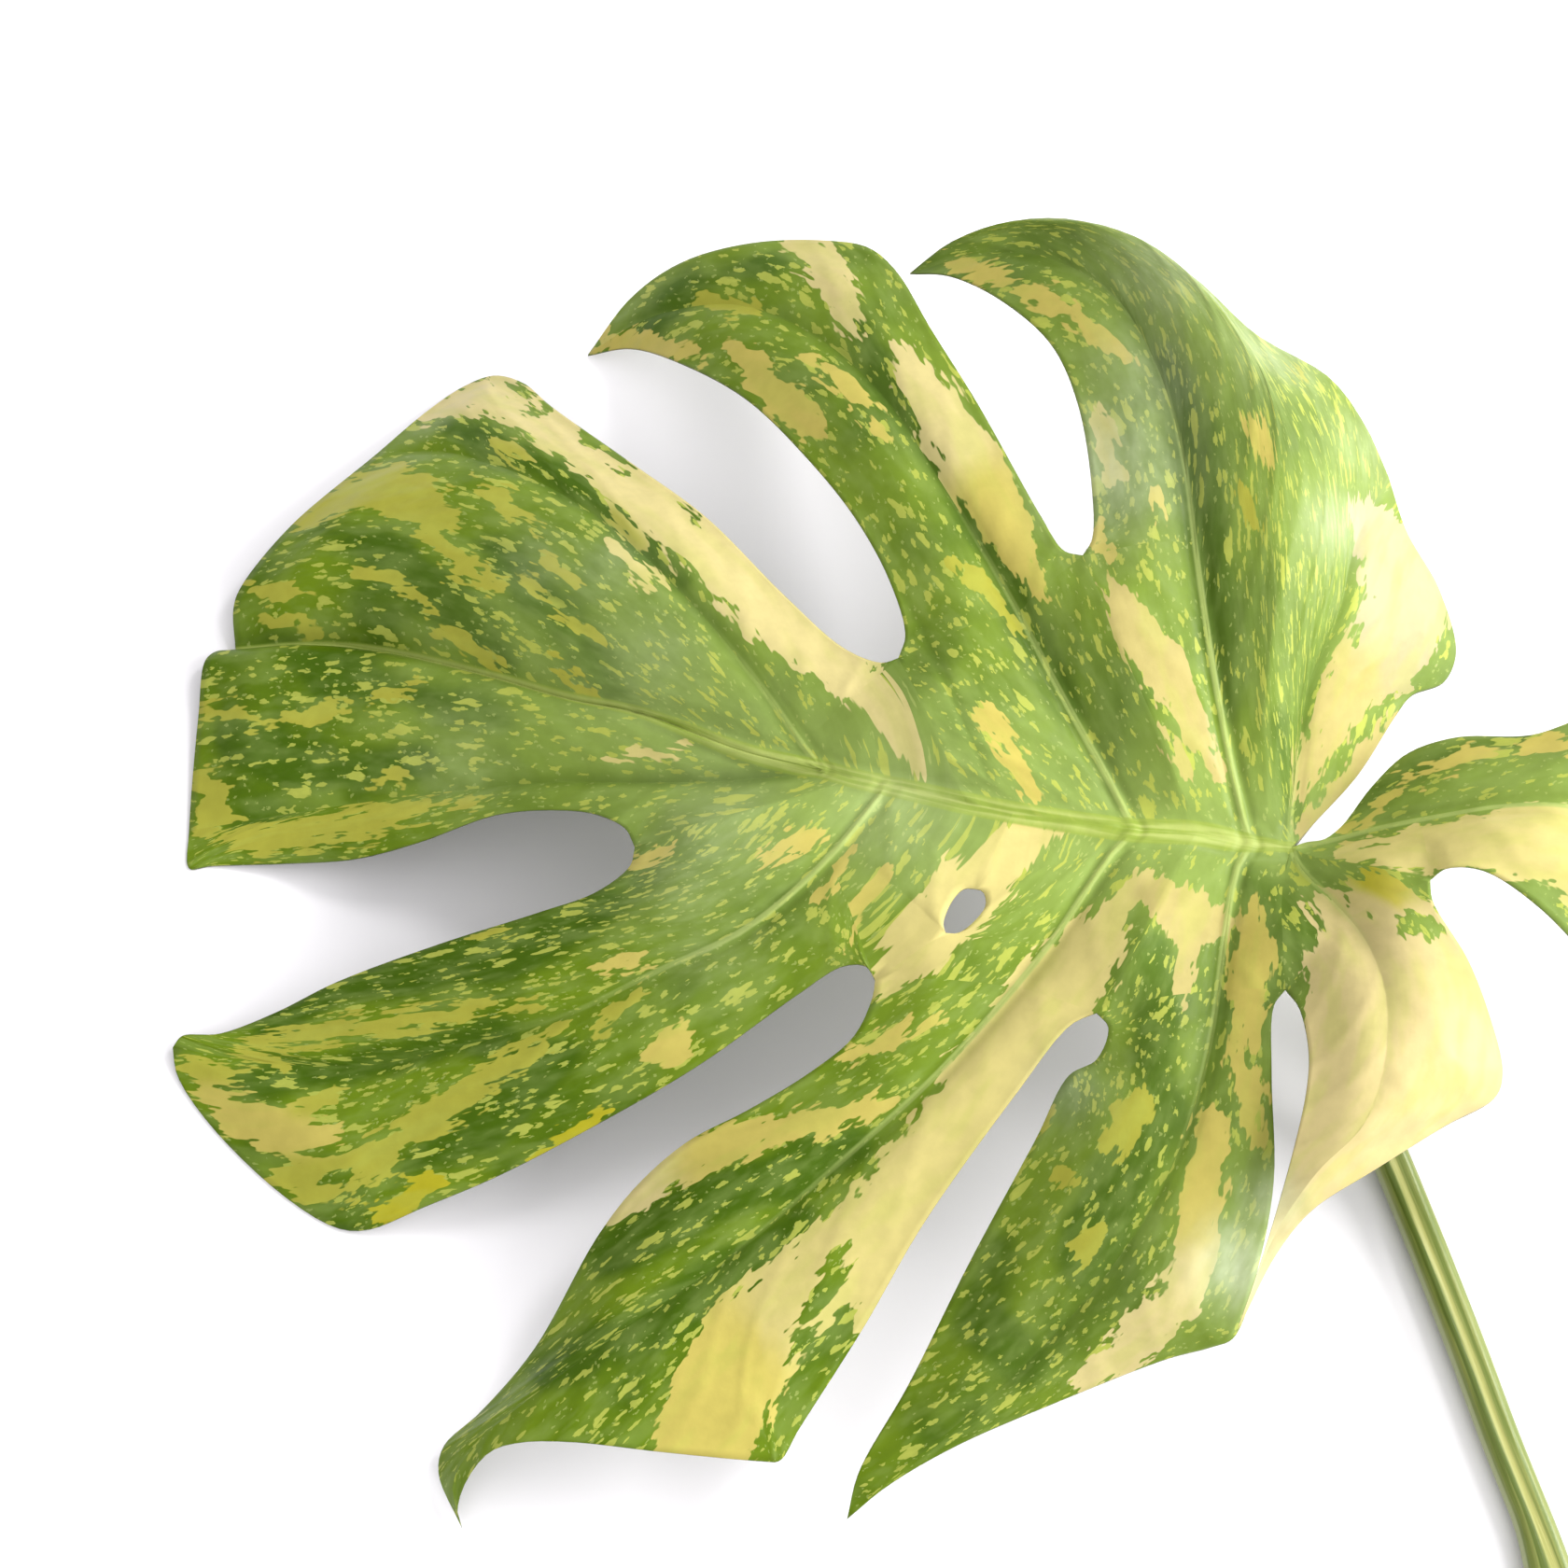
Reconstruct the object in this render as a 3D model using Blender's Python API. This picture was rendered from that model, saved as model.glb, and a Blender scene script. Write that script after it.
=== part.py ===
"""A variegated monstera leaf, cut with its stalk and laid on a flat surface.

Two grown pieces: the blade, one body with its lobes, slits, hole, midrib and side ribs,
and the stalk, which bends down below the blade and lies along the surface to its cut end.

Each outline below is a list of (u, v, z) in millimetres, as a maker draws a template: u to the
right and v upwards on a drawing board that faces the drawer's eye, and z the height of that
point of the leaf above the surface. place() carries a point from the board along its line of
sight to its height. Between the outlines every shape is a formula.
"""

import math

import bpy
import numpy as np
from mathutils import Vector
from mathutils.bvhtree import BVHTree

MM = 0.001

EYE_ELEVATION = math.radians(70.0)
EYE_DISTANCE = 800.0
BOARD_HEIGHT = 30.0
ORIGIN_SHIFT = (-31.9, 27.1)

BLADE_THICKNESS = 0.9
STEEPEST = 0.4
COLUMN_GRADING = 1.45

QUILT_HEIGHT = 4.2
QUILT_WIDTH = 9.0
EDGE_FADE = 14.0

MIDRIB_DEPTH = 3.6
MIDRIB_HALF_WIDTH = 3.4
SIDE_RIB_DEPTH = 1.5
SIDE_RIB_HALF_WIDTH = 1.9
TIP_RIB_SHARE = 0.12
RIB_EDGE_FADE = 6.0
SEAT_BOSS_RADIUS = 7.5

STALK_RADIUS = 4.1
STALK_KNEE_RADIUS = 4.9
STALK_KNEE_LENGTH = 26.0
STALK_SIDES = 16
STALK_RING_SPACING = 5.5
STALK_SEAT_GAP = 0.42
KNEE_DROP = 4.5
SEAT_SHARES = (0.0, 0.35, 0.7, 1.0)
SHEATH_LENGTH = 34.0
SHEATH_REACH = 7.0
CHANNEL_DEPTH = 0.9
CHANNEL_HALF_ANGLE = 0.42

# The midrib, from the stalk's seat to the root of the first side rib, with a point at every
# root of a side rib or of a web between two lobes.
MIDRIB = [(108.5, -14, 52), (100, -13, 53.5), (88, -11, 55.5), (75, -10, 57), (49, -6.5, 57),
    (39, -4.5, 56.5), (22, -0.5, 54.5), (14.5, 1, 53.5), (8, 3, 52)]

# The midrib's thin end, on to the notch at the leaf's tip.
TIP_RIB = [(8, 3, 52), (-8, 6.5, 48), (-31, 15, 40), (-46, 18, 34), (-61.5, 22.5, 27),
    (-73, 25.5, 21), (-84.5, 28, 14), (-98, 29.5, 8), (-117.5, 28.5, 1.5)]

# The side ribs, each from its root on the midrib to its lobe's tip.
VEINS = {
    "far1": [(8, 3, 52), (3.5, 9, 52), (-5, 21, 52), (-18, 37, 49), (-35, 53.5, 42),
        (-48, 62.5, 34), (-59, 67.5, 27), (-72, 71, 17), (-87, 71, 7)],
    "far2": [(75, -10, 57), (71, -2, 57), (60, 18, 60), (46.5, 43.5, 60), (33, 66, 56),
        (21.5, 83, 50), (8.5, 95, 41), (-8, 102.5, 31), (-22, 102, 21), (-32, 98.5, 12),
        (-42, 92, 1)],
    "far3": [(100, -13, 53.5), (98, -6, 56), (92.5, 21, 64), (88.5, 47.5, 68), (85.5, 70, 68),
        (80, 89.5, 64), (70, 105.5, 58), (54, 113.5, 50), (40, 113, 42), (27, 109.5, 34)],
    "far4": [(108.5, -14, 52), (108.5, -8, 53), (110, 5, 58), (113, 22.5, 64), (119, 37, 67),
        (122.5, 52, 68), (129.5, 66, 66)],
    "near1": [(8, 3, 52), (-10, 1, 47), (-30, 0.5, 40), (-50, 0.5, 32), (-72, -1.5, 22),
        (-98, -5, 11), (-127.5, -10, 0.8)],
    "near2": [(22, -0.5, 54.5), (19, -4.5, 54.5), (8.5, -17, 53), (-8, -31, 49), (-27, -40, 42),
        (-48, -50, 33), (-69, -56, 23), (-92, -60.5, 13), (-116, -59, 6), (-131, -56.5, 3)],
    "near3": [(75, -10, 57), (70.5, -14.5, 57), (56.5, -35, 56), (33.5, -61.5, 49),
        (11.5, -81.5, 41), (-11.5, -101, 34), (-34.5, -117, 29), (-55, -132, 22),
        (-65, -140.5, 15), (-71, -150, 7), (-69, -159.5, 3)],
    "near4": [(100, -13, 53.5), (97, -18, 55), (94.5, -32, 58), (91, -56.5, 62), (84, -80, 63),
        (72, -101, 57), (50, -126, 42), (24, -148, 28), (13.5, -157.5, 22)],
    "near5": [(108.5, -14, 52), (111, -18.5, 55), (118.5, -26, 63), (125, -34, 71), (129, -45, 78),
        (129, -59, 82), (124.5, -72.5, 80), (114, -83.5, 75), (105, -97, 66.5), (97, -117.5, 56)],
    "near6": [(108.5, -14, 52), (116, -12.5, 54), (128, -9.5, 60), (141, -7, 66), (153.5, -5, 70),
        (168, -5, 72), (183, -11, 69), (192, -26, 59), (193, -42, 48), (190.5, -57, 38)],
}

# Where two neighbouring lobes grow together: from the midrib to the end of the slit.
WEBS = {
    "far12": [(39, -4.5, 56.5), (32, 11, 60), (24.5, 27, 58)],
    "far23": [(88, -11, 55.5), (81, 8, 62), (72, 28, 66), (64, 49, 66)],
    "near12": [(14.5, 1, 53.5), (2, -3.5, 53), (-14, -8, 50), (-32, -13.5, 44)],
    "near23_base": [(49, -6.5, 57), (41, -23.5, 56)],
    "hole_left": [(41, -23.5, 56), (38.5, -23.5, 56), (36, -26, 56), (34, -31, 55.5),
        (34.5, -33, 55)],
    "hole_right": [(41, -23.5, 56), (42.5, -24, 56), (43, -27, 56), (40, -31, 55.5), (37, -33, 55),
        (34.5, -33, 55)],
    "near23_end": [(34.5, -33, 55), (19.5, -42, 53)],
    "near34": [(88, -11, 55.5), (77, -33, 61), (67, -49, 60)],
    "near45": [(108.5, -14, 52), (106.5, -24, 57), (106.5, -34, 63), (107.5, -44, 67)],
    "near56": [(108.5, -14, 52), (118, -17, 60), (128, -19, 68), (138.5, -20.5, 74)],
}

# The free edges, each from a slit's end to a lobe's tip, or across a lobe's end.
MARGINS = {
    "far1_end": [(-87, 71, 7), (-106, 55, 8), (-116.5, 42, 7), (-118, 37.5, 5), (-117.5, 28.5, 1.5)],
    "far1_right": [(24.5, 27, 58), (21, 26, 57), (13, 29, 54), (0, 40.5, 49), (-16.5, 57, 42),
        (-33, 69, 31), (-50, 81, 15), (-56, 86, 7), (-62.5, 87.5, 1.5), (-69, 85, 0.8),
        (-77, 79.5, 3), (-87, 71, 7)],
    "far2_left": [(24.5, 27, 58), (26, 32, 58), (22.5, 44, 56), (15, 57.5, 52), (4, 71, 45),
        (-8, 82.5, 36), (-21.5, 90, 24), (-33, 93.5, 10), (-42, 92, 1)],
    "far2_right": [(64, 49, 66), (60, 50, 65), (55, 57.5, 62), (41.5, 81.5, 54), (31.5, 97.5, 48),
        (24, 110, 42), (18, 115, 38), (8.5, 116.5, 34), (-6.5, 116, 29), (-21.5, 112, 20),
        (-33, 104, 9), (-42, 92, 1)],
    "far3_left": [(64, 49, 66), (66, 52.5, 66), (66, 63.5, 65), (63, 81.5, 61), (57.5, 94, 57),
        (47, 103.5, 50), (35.5, 109, 41), (27, 109.5, 34)],
    "far34_end": [(27, 109.5, 34), (35.5, 116, 40), (48, 120.5, 49.5), (62, 121, 56.5),
        (74.5, 117, 61.5), (88, 108.5, 66), (101, 96.5, 69), (117, 87, 68), (124.5, 77, 67),
        (129.5, 66, 66)],
    "far4_right": [(108.5, -14, 52), (113, -9, 52), (123, 2, 50), (131, 14.5, 50), (134.5, 19, 49),
        (141.5, 22, 46), (144, 28, 45), (140.5, 41.5, 50), (133.5, 54, 58), (129.5, 66, 66)],
    "near1_end": [(-127.5, -10, 0.8), (-127, -2, 1.2), (-125.5, 14.5, 3), (-124, 26.5, 5),
        (-121.5, 28.5, 4), (-117.5, 28.5, 1.5)],
    "near1_right": [(-32, -13.5, 44), (-34, -9.5, 43), (-40, -6.5, 40), (-48, -5.5, 35),
        (-61.5, -6.5, 28), (-78.5, -12.5, 18), (-92, -16, 11), (-107.5, -17, 4),
        (-123, -17.5, 0.8), (-127.5, -18, 0.6), (-127.5, -10, 0.8)],
    "near2_left": [(-32, -13.5, 44), (-33, -17.5, 43), (-40, -23, 40), (-52.5, -27.5, 34),
        (-73, -34, 25), (-96, -42.5, 14), (-109, -49, 8), (-121, -53.5, 5), (-129, -54, 4),
        (-131, -56.5, 3)],
    "near2_right": [(19.5, -42, 53), (17.5, -39, 53), (12.5, -39, 51), (3, -45, 46),
        (-18, -60, 36), (-38.5, -72, 26), (-61.5, -84, 15), (-77, -90.5, 8), (-89.5, -95.5, 2),
        (-96, -95, 0.8), (-107.5, -88, 0.6), (-123, -73, 0.6), (-130, -62.5, 1.2),
        (-131, -56.5, 3)],
    "near3_left": [(19.5, -42, 53), (19, -45.5, 52.5), (15, -54, 49), (6, -61.5, 45), (-8, -70, 39),
        (-20.5, -76.5, 34), (-31.5, -86, 28), (-40, -97, 24), (-53.5, -121, 15), (-65, -134.5, 9),
        (-73, -142, 5), (-74, -148, 3), (-69, -159.5, 3)],
    "near3_right": [(67, -49, 60), (61.5, -51.5, 59), (50, -66, 53), (30, -94, 43),
        (17, -116.5, 35), (3, -138.5, 28), (-1, -145, 26), (-5.5, -145, 26), (-27, -143, 26),
        (-45, -141, 25), (-56, -141, 22), (-63, -143, 17), (-68.5, -150, 9), (-70, -156, 4),
        (-69, -159.5, 3)],
    "near4_left": [(67, -49, 60), (69.5, -52, 60), (67, -59, 58), (61, -62.5, 56), (54, -76, 52),
        (40, -102, 44), (26.5, -129, 34), (16, -147.5, 26), (13.5, -157.5, 22)],
    "near4_right": [(107.5, -44, 67), (105, -47.5, 67), (104.5, -62, 66), (105, -84.5, 61),
        (102, -102, 57), (96.5, -118.5, 53), (92, -120.5, 51), (82.5, -123, 47), (59.5, -132, 39),
        (36.5, -142, 32), (22, -150.5, 26.5), (13.5, -157.5, 22)],
    "near5_left": [(107.5, -44, 67), (110.5, -48, 72), (112.5, -57.5, 77), (112, -65.5, 78),
        (108.5, -81, 74), (102, -103, 64), (97, -117.5, 56)],
    "near5_right": [(138.5, -20.5, 74), (139, -25, 74), (146.5, -37.5, 74), (151, -49, 74),
        (154, -61.5, 72), (152.5, -67, 70), (142, -73, 70), (126, -83, 71.5), (113.5, -91, 69),
        (106, -100, 64), (97, -117.5, 56)],
    "near6_lower": [(138.5, -20.5, 74), (142, -18, 76), (150, -18.5, 78), (161.5, -26, 78),
        (174, -39, 72), (183, -50, 58), (190.5, -57, 38)],
    "near6_upper": [(108.5, -14, 52), (112, -12.5, 52.5), (115.5, -12, 54), (119.5, -9, 54),
        (126, -0.5, 56), (133.5, 6.5, 58), (144, 10, 61), (160, 10.5, 66), (176, 15, 68),
        (192, 10, 64), (202, -6, 57), (202.5, -32, 47), (190.5, -57, 38)],
}

# The stalk: its seat under the blade, and its middle line from below the knee to the cut end.
STALK_SEAT = (106.5, -14.5, 52)
STALK_LINE = [(110, -23, 35), (113.5, -36, 26), (118.5, -50, 18), (124.5, -67, 10),
    (132.2, -85.5, 4.3), (139.7, -104, 3.6), (146.7, -122, 3.6), (153.2, -139.5, 3.6),
    (158.2, -152, 3.6), (162.2, -162, 3.6), (167.2, -176, 3.6), (171.2, -190, 3.6)]

# Each half of a lobe: its side rib, the midrib points at that rib's root and at the web's root,
# the web's stretches out to the slit's end, and its free edge.
HALF_LOBES = [
    ("far1", 8, 5, ("far12",), "far1_right"),
    ("far2", 3, 5, ("far12",), "far2_left"),
    ("far2", 3, 2, ("far23",), "far2_right"),
    ("far3", 1, 2, ("far23",), "far3_left"),
    ("near1", 8, 7, ("near12",), "near1_right"),
    ("near2", 6, 7, ("near12",), "near2_left"),
    ("near2", 6, 4, ("near23_base", "hole_left", "near23_end"), "near2_right"),
    ("near3", 3, 4, ("near23_base", "hole_right", "near23_end"), "near3_left"),
    ("near3", 3, 2, ("near34",), "near3_right"),
    ("near4", 1, 2, ("near34",), "near4_left"),
    ("near4", 1, 0, ("near45",), "near4_right"),
    ("near5", 0, 0, ("near45",), "near5_left"),
    ("near5", 0, 0, ("near56",), "near5_right"),
    ("near6", 0, 0, ("near56",), "near6_lower"),
]

# The share of each side rib that lies below the line across to the slits' ends.
BRIDGE = {
    "far1": 0.05, "far2": 0.27, "far3": 0.38, "far4": 0.3, "near1": 0.22, "near2": 0.11,
    "near3": 0.19, "near4": 0.18, "near5": 0.18, "near6": 0.22,
}

# Columns along each stretch of the midrib from one point to the next, and rows along each web.
MIDRIB_STEPS = (8, 6, 6, 6, 3, 3, 5, 5)
WEB_ROWS = {"near23_base": 1, "hole_left": 4, "hole_right": 4, "near23_end": 1}
BASE_ROWS = 6
LOBE_ROWS = 14
FAN_COLUMNS = 7
CORNER_WEIGHT = 14.0
CURVE_DETAIL = 40
EDGE_DETAIL = 400
RIB_DETAIL = 33


def place(points):
    """Board points (u, v, z) to (x, y, z): the line from the eye through (u, v), cut at z."""
    points = np.asarray(points, float)
    sine = math.sin(EYE_ELEVATION)
    cosine = math.cos(EYE_ELEVATION)
    eye = np.array([0.0, -EYE_DISTANCE * cosine, BOARD_HEIGHT + EYE_DISTANCE * sine])
    board = np.stack([points[..., 0], points[..., 1] * sine, BOARD_HEIGHT + points[..., 1] * cosine], -1)
    reach = (eye[2] - points[..., 2]) / (eye[2] - board[..., 2])
    placed = eye + (board - eye) * reach[..., None]
    placed[..., 0] += ORIGIN_SHIFT[0]
    placed[..., 1] += ORIGIN_SHIFT[1]
    return placed


def read_curve(points, fractions):
    """The smooth curve through the points, read at fractions of its length.

    Between neighbours it is a cubic whose end slopes are the three-point slopes."""
    points = np.asarray(points, float)
    steps = np.sqrt(np.linalg.norm(np.diff(points, axis=0), axis=1))
    knots = np.concatenate([[0.0], np.cumsum(steps)])
    slopes = np.gradient(points, knots, axis=0)
    fine = np.linspace(0.0, knots[-1], CURVE_DETAIL * len(points))
    index = np.clip(np.searchsorted(knots, fine, side="right") - 1, 0, len(points) - 2)
    width = (knots[index + 1] - knots[index])[:, None]
    x = (fine - knots[index])[:, None] / width
    curve = ((1 + 2 * x) * (1 - x) ** 2 * points[index] + x * (1 - x) ** 2 * width * slopes[index]
             + x ** 2 * (3 - 2 * x) * points[index + 1] + x ** 2 * (x - 1) * width * slopes[index + 1])
    length = np.concatenate([[0.0], np.cumsum(np.linalg.norm(np.diff(curve, axis=0), axis=1))])
    wanted = np.asarray(fractions) * length[-1]
    return np.stack([np.interp(wanted, length, curve[:, axis]) for axis in range(3)], -1)


def length_shares(points):
    """How far along the chain of points each point lies, from 0 to 1."""
    steps = np.linalg.norm(np.diff(points, axis=0), axis=1)
    length = np.concatenate([[0.0], np.cumsum(steps)])
    if length[-1] == 0.0:
        return np.linspace(0.0, 1.0, len(points))
    return length / length[-1]


def midrib_stretch(start, stop):
    """The midrib from one of its points to another, in that stretch's own number of steps."""
    low = min(start, stop)
    high = max(start, stop)
    chain = [np.asarray([MIDRIB[low]], float)]
    for k in range(low, high):
        steps = np.linspace(0.0, 1.0, MIDRIB_STEPS[k] + 1)[1:, None]
        chain.append(np.asarray(MIDRIB[k]) * (1 - steps) + np.asarray(MIDRIB[k + 1]) * steps)
    chain = np.concatenate(chain)
    return chain if start <= stop else chain[::-1]


def vein_rows(vein):
    """A side rib at the rows of its lobe: the base rows up to the bridge, then the free rows."""
    bridge = BRIDGE[vein]
    base = np.linspace(0.0, bridge, BASE_ROWS + 1)
    free = np.linspace(bridge, 1.0, LOBE_ROWS + 1)[1:]
    return read_curve(VEINS[vein], np.concatenate([base, free]))


def edge_rows(points, count):
    """A free edge in count steps, which crowd together where it turns a corner."""
    fine = read_curve(points, np.linspace(0.0, 1.0, EDGE_DETAIL))
    step = np.diff(fine, axis=0)
    length = np.linalg.norm(step, axis=1)
    heading = step / length[:, None]
    bend = np.arccos(np.clip((heading[1:] * heading[:-1]).sum(axis=1), -1.0, 1.0))
    weight = np.concatenate([[0.0], np.cumsum(length + CORNER_WEIGHT * np.append(bend, 0.0))])
    wanted = np.linspace(0.0, weight[-1], count + 1)
    return np.stack([np.interp(wanted, weight, fine[:, axis]) for axis in range(3)], -1)


def web_rows(webs):
    """A web from the midrib to the slit's end, in the base rows."""
    chains = []
    for web in webs:
        steps = WEB_ROWS.get(web, BASE_ROWS)
        chains.append(read_curve(WEBS[web], np.linspace(0.0, 1.0, steps + 1)))
    return np.concatenate([chains[0]] + [chain[1:] for chain in chains[1:]])


def blend_patch(left, right, foot, head, columns):
    """A grid of points between four sides: the two side curves blended across, and the foot and
    head curves blended along, less the straight blend of the four corners (a Coons patch).

    The columns stand at the foot's own points on the first row and at the head's own points on
    the last, and move over to the given columns in between."""
    t = length_shares(0.5 * (left + right))[:, None]
    foot_shares = length_shares(foot)
    head_shares = length_shares(head)
    from_foot = np.clip(t / 0.25, 0.0, 1.0)
    from_head = np.clip((1 - t) / 0.25, 0.0, 1.0)
    s = columns * from_foot * from_head + foot_shares * (1 - from_foot) + head_shares * (1 - from_head)
    foot_at = np.stack([np.interp(s, foot_shares, foot[:, axis]) for axis in range(3)], -1)
    head_at = np.stack([np.interp(s, head_shares, head[:, axis]) for axis in range(3)], -1)
    s = s[..., None]
    t = t[..., None]
    sides = (1 - s) * left[:, None, :] + s * right[:, None, :]
    ends = (1 - t) * foot_at + t * head_at
    corners = ((1 - s) * (1 - t) * foot[0] + s * (1 - t) * foot[-1]
               + (1 - s) * t * head[0] + s * t * head[-1])
    return sides + ends - corners


def rib_columns(count):
    """Column shares that crowd towards the rib at 0."""
    return np.linspace(0.0, 1.0, count) ** COLUMN_GRADING


def half_lobe(vein, root, web_root, webs, margin):
    """One half of a lobe in two patches: the base, between the side rib and the web, and the
    free part, between the side rib and the free edge, which meet at the lobe's tip."""
    rib = vein_rows(vein)
    web = web_rows(webs)
    foot = midrib_stretch(root, web_root)
    if len(foot) == 1:
        foot = np.repeat(foot, FAN_COLUMNS + 1, axis=0)
    columns = rib_columns(len(foot))
    bridge = rib[BASE_ROWS] + (web[-1] - rib[BASE_ROWS]) * columns[:, None]
    base = blend_patch(rib[:BASE_ROWS + 1], web, foot, bridge, columns)
    tip = np.repeat(rib[-1:], len(foot), axis=0)
    edge = edge_rows(MARGINS[margin], LOBE_ROWS)
    free = blend_patch(rib[BASE_ROWS:], edge, bridge, tip, columns)
    return [base, free]


def fan_half(vein, margin):
    """A half lobe without a web: its side rib and its free edge both start at the seat."""
    rib = vein_rows(vein)
    edge = edge_rows(MARGINS[margin], BASE_ROWS + LOBE_ROWS)
    seat = np.repeat(rib[:1], FAN_COLUMNS + 1, axis=0)
    tip = np.repeat(rib[-1:], FAN_COLUMNS + 1, axis=0)
    return blend_patch(rib, edge, seat, tip, rib_columns(FAN_COLUMNS + 1))


def sector(left, right, foot, margin):
    """The part between two ribs that no slit divides, out to the free edge across its end."""
    head = edge_rows(MARGINS[margin], len(foot) - 1)
    columns = 0.5 - 0.5 * np.cos(math.pi * np.linspace(0.0, 1.0, len(foot)))
    return blend_patch(left, right, foot, head, columns)


def blade_patches():
    patches = []
    for half in HALF_LOBES:
        patches += half_lobe(*half)
    patches.append(fan_half("far4", "far4_right"))
    patches.append(fan_half("near6", "near6_upper"))
    tip_rib = read_curve(TIP_RIB, np.linspace(0.0, 1.0, BASE_ROWS + LOBE_ROWS + 1))
    root = np.repeat(tip_rib[:1], FAN_COLUMNS + 1, axis=0)
    patches.append(sector(vein_rows("far1"), tip_rib, root, "far1_end"))
    patches.append(sector(vein_rows("near1"), tip_rib, root, "near1_end"))
    patches.append(sector(vein_rows("far3"), vein_rows("far4"), midrib_stretch(1, 0), "far34_end"))
    return patches


def weld(patches):
    """The patches' points without doubles, and triangles that all face the eye."""
    points = np.concatenate([patch.reshape(-1, 3) for patch in patches])
    triangles = []
    start = 0
    for patch in patches:
        rows, columns = patch.shape[:2]
        index = start + np.arange(rows * columns).reshape(rows, columns)
        a, b = index[:-1, :-1].ravel(), index[:-1, 1:].ravel()
        c, d = index[1:, 1:].ravel(), index[1:, :-1].ravel()
        faces = np.concatenate([np.stack([a, b, c], -1), np.stack([a, c, d], -1)])
        flat = points[faces][..., :2]
        turn = np.cross(flat[:, 1] - flat[:, 0], flat[:, 2] - flat[:, 0]).sum()
        triangles.append(faces if turn > 0 else faces[:, ::-1])
        start += rows * columns
    keys = np.round(points, 4)
    unique, first, inverse = np.unique(keys, axis=0, return_index=True, return_inverse=True)
    faces = inverse.reshape(-1)[np.concatenate(triangles)]
    whole = (faces[:, 0] != faces[:, 1]) & (faces[:, 1] != faces[:, 2]) & (faces[:, 2] != faces[:, 0])
    return points[first], faces[whole]


def nearest_on(points, chain):
    """Each point's distance to a chain of points, and the share of the chain where it is."""
    shares = length_shares(chain)
    best = np.full(len(points), np.inf)
    where = np.zeros(len(points))
    for k in range(len(chain) - 1):
        along = chain[k + 1] - chain[k]
        x = np.clip((points - chain[k]) @ along / (along @ along), 0.0, 1.0)
        distance = np.linalg.norm(points - chain[k] - x[:, None] * along, axis=1)
        closer = distance < best
        best = np.where(closer, distance, best)
        where = np.where(closer, shares[k] + x * (shares[k + 1] - shares[k]), where)
    return best, where


def rib_field(points):
    """For each point: the distance to the midrib, to the nearest side rib and to the outer edge,
    and how far the nearest rib has tapered there."""
    fractions = np.linspace(0.0, 1.0, RIB_DETAIL)
    whole_midrib = np.concatenate([read_curve(MIDRIB, fractions), read_curve(TIP_RIB, fractions)[1:]])
    to_midrib, midrib_share = nearest_on(points, place(whole_midrib))
    to_side = np.full(len(points), np.inf)
    side_share = np.zeros(len(points))
    for vein in VEINS.values():
        distance, share = nearest_on(points, place(read_curve(vein, fractions)))
        side_share = np.where(distance < to_side, share, side_share)
        to_side = np.minimum(to_side, distance)
    to_edge = np.full(len(points), np.inf)
    for edge in MARGINS.values():
        to_edge = np.minimum(to_edge, nearest_on(points, place(read_curve(edge, fractions)))[0])
    return to_midrib, midrib_share, to_side, side_share, to_edge


def blade_mesh():
    """The blade's two faces, alike triangle for triangle, and the thin wall round its edges.

    The upper face swells between the ribs, which lie in valleys. The lower face stands off by
    the blade's thickness, and by more under the ribs, which taper towards the lobes' tips."""
    points, faces = weld(blade_patches())
    top = place(points)
    to_midrib, midrib_share, to_side, side_share, to_edge = rib_field(top)
    valley = (1 - np.exp(-to_midrib / QUILT_WIDTH)) * (1 - np.exp(-to_side / QUILT_WIDTH))
    fade = np.clip(to_edge / EDGE_FADE, 0.0, 1.0)
    top[:, 2] += QUILT_HEIGHT * valley * fade * fade * (3 - 2 * fade)
    normals = np.zeros_like(top)
    corners = top[faces]
    face_normals = np.cross(corners[:, 1] - corners[:, 0], corners[:, 2] - corners[:, 0])
    for corner in range(3):
        np.add.at(normals, faces[:, corner], face_normals)
    normals /= np.linalg.norm(normals, axis=1)[:, None]
    midrib = MIDRIB_DEPTH * (1 - (1 - TIP_RIB_SHARE) * midrib_share)
    midrib = midrib * np.exp(-(to_midrib / MIDRIB_HALF_WIDTH) ** 2)
    side = SIDE_RIB_DEPTH * (1 - (1 - TIP_RIB_SHARE) * side_share)
    side = side * np.exp(-(to_side / SIDE_RIB_HALF_WIDTH) ** 2)
    to_seat = np.linalg.norm(top - place([STALK_SEAT])[0], axis=1)
    boss = MIDRIB_DEPTH * np.exp(-(to_seat / SEAT_BOSS_RADIUS) ** 4)
    side *= np.clip(to_edge / RIB_EDGE_FADE, 0.0, 1.0) ** 2
    plain = BLADE_THICKNESS / np.clip(normals[:, 2], STEEPEST, 1.0)
    bottom = top.copy()
    bottom[:, 2] -= plain + np.maximum(np.maximum(midrib, side), boss)
    bottom[:, 2] = np.maximum(bottom[:, 2], 0.0)
    top[:, 2] = np.maximum(top[:, 2], bottom[:, 2] + plain)
    count = len(top)
    rim = []
    edges = np.concatenate([faces[:, [0, 1]], faces[:, [1, 2]], faces[:, [2, 0]]])
    forward = {(int(a), int(b)) for a, b in edges}
    for a, b in sorted(forward):
        if (b, a) not in forward:
            rim.append((a, a + count, b + count))
            rim.append((a, b + count, b))
    all_faces = [tuple(map(int, face)) for face in faces]
    all_faces += [tuple(int(v) + count for v in face[::-1]) for face in faces]
    return np.concatenate([top, bottom]), all_faces + rim


def stalk_path(seat):
    """The stalk's middle line: straight down from its seat under the blade, round the knee, down
    to the surface, and along it to the cut."""
    knee = [seat, seat - np.array([0.0, 0.0, KNEE_DROP])]
    return np.concatenate([knee, place(STALK_LINE)])


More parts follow.
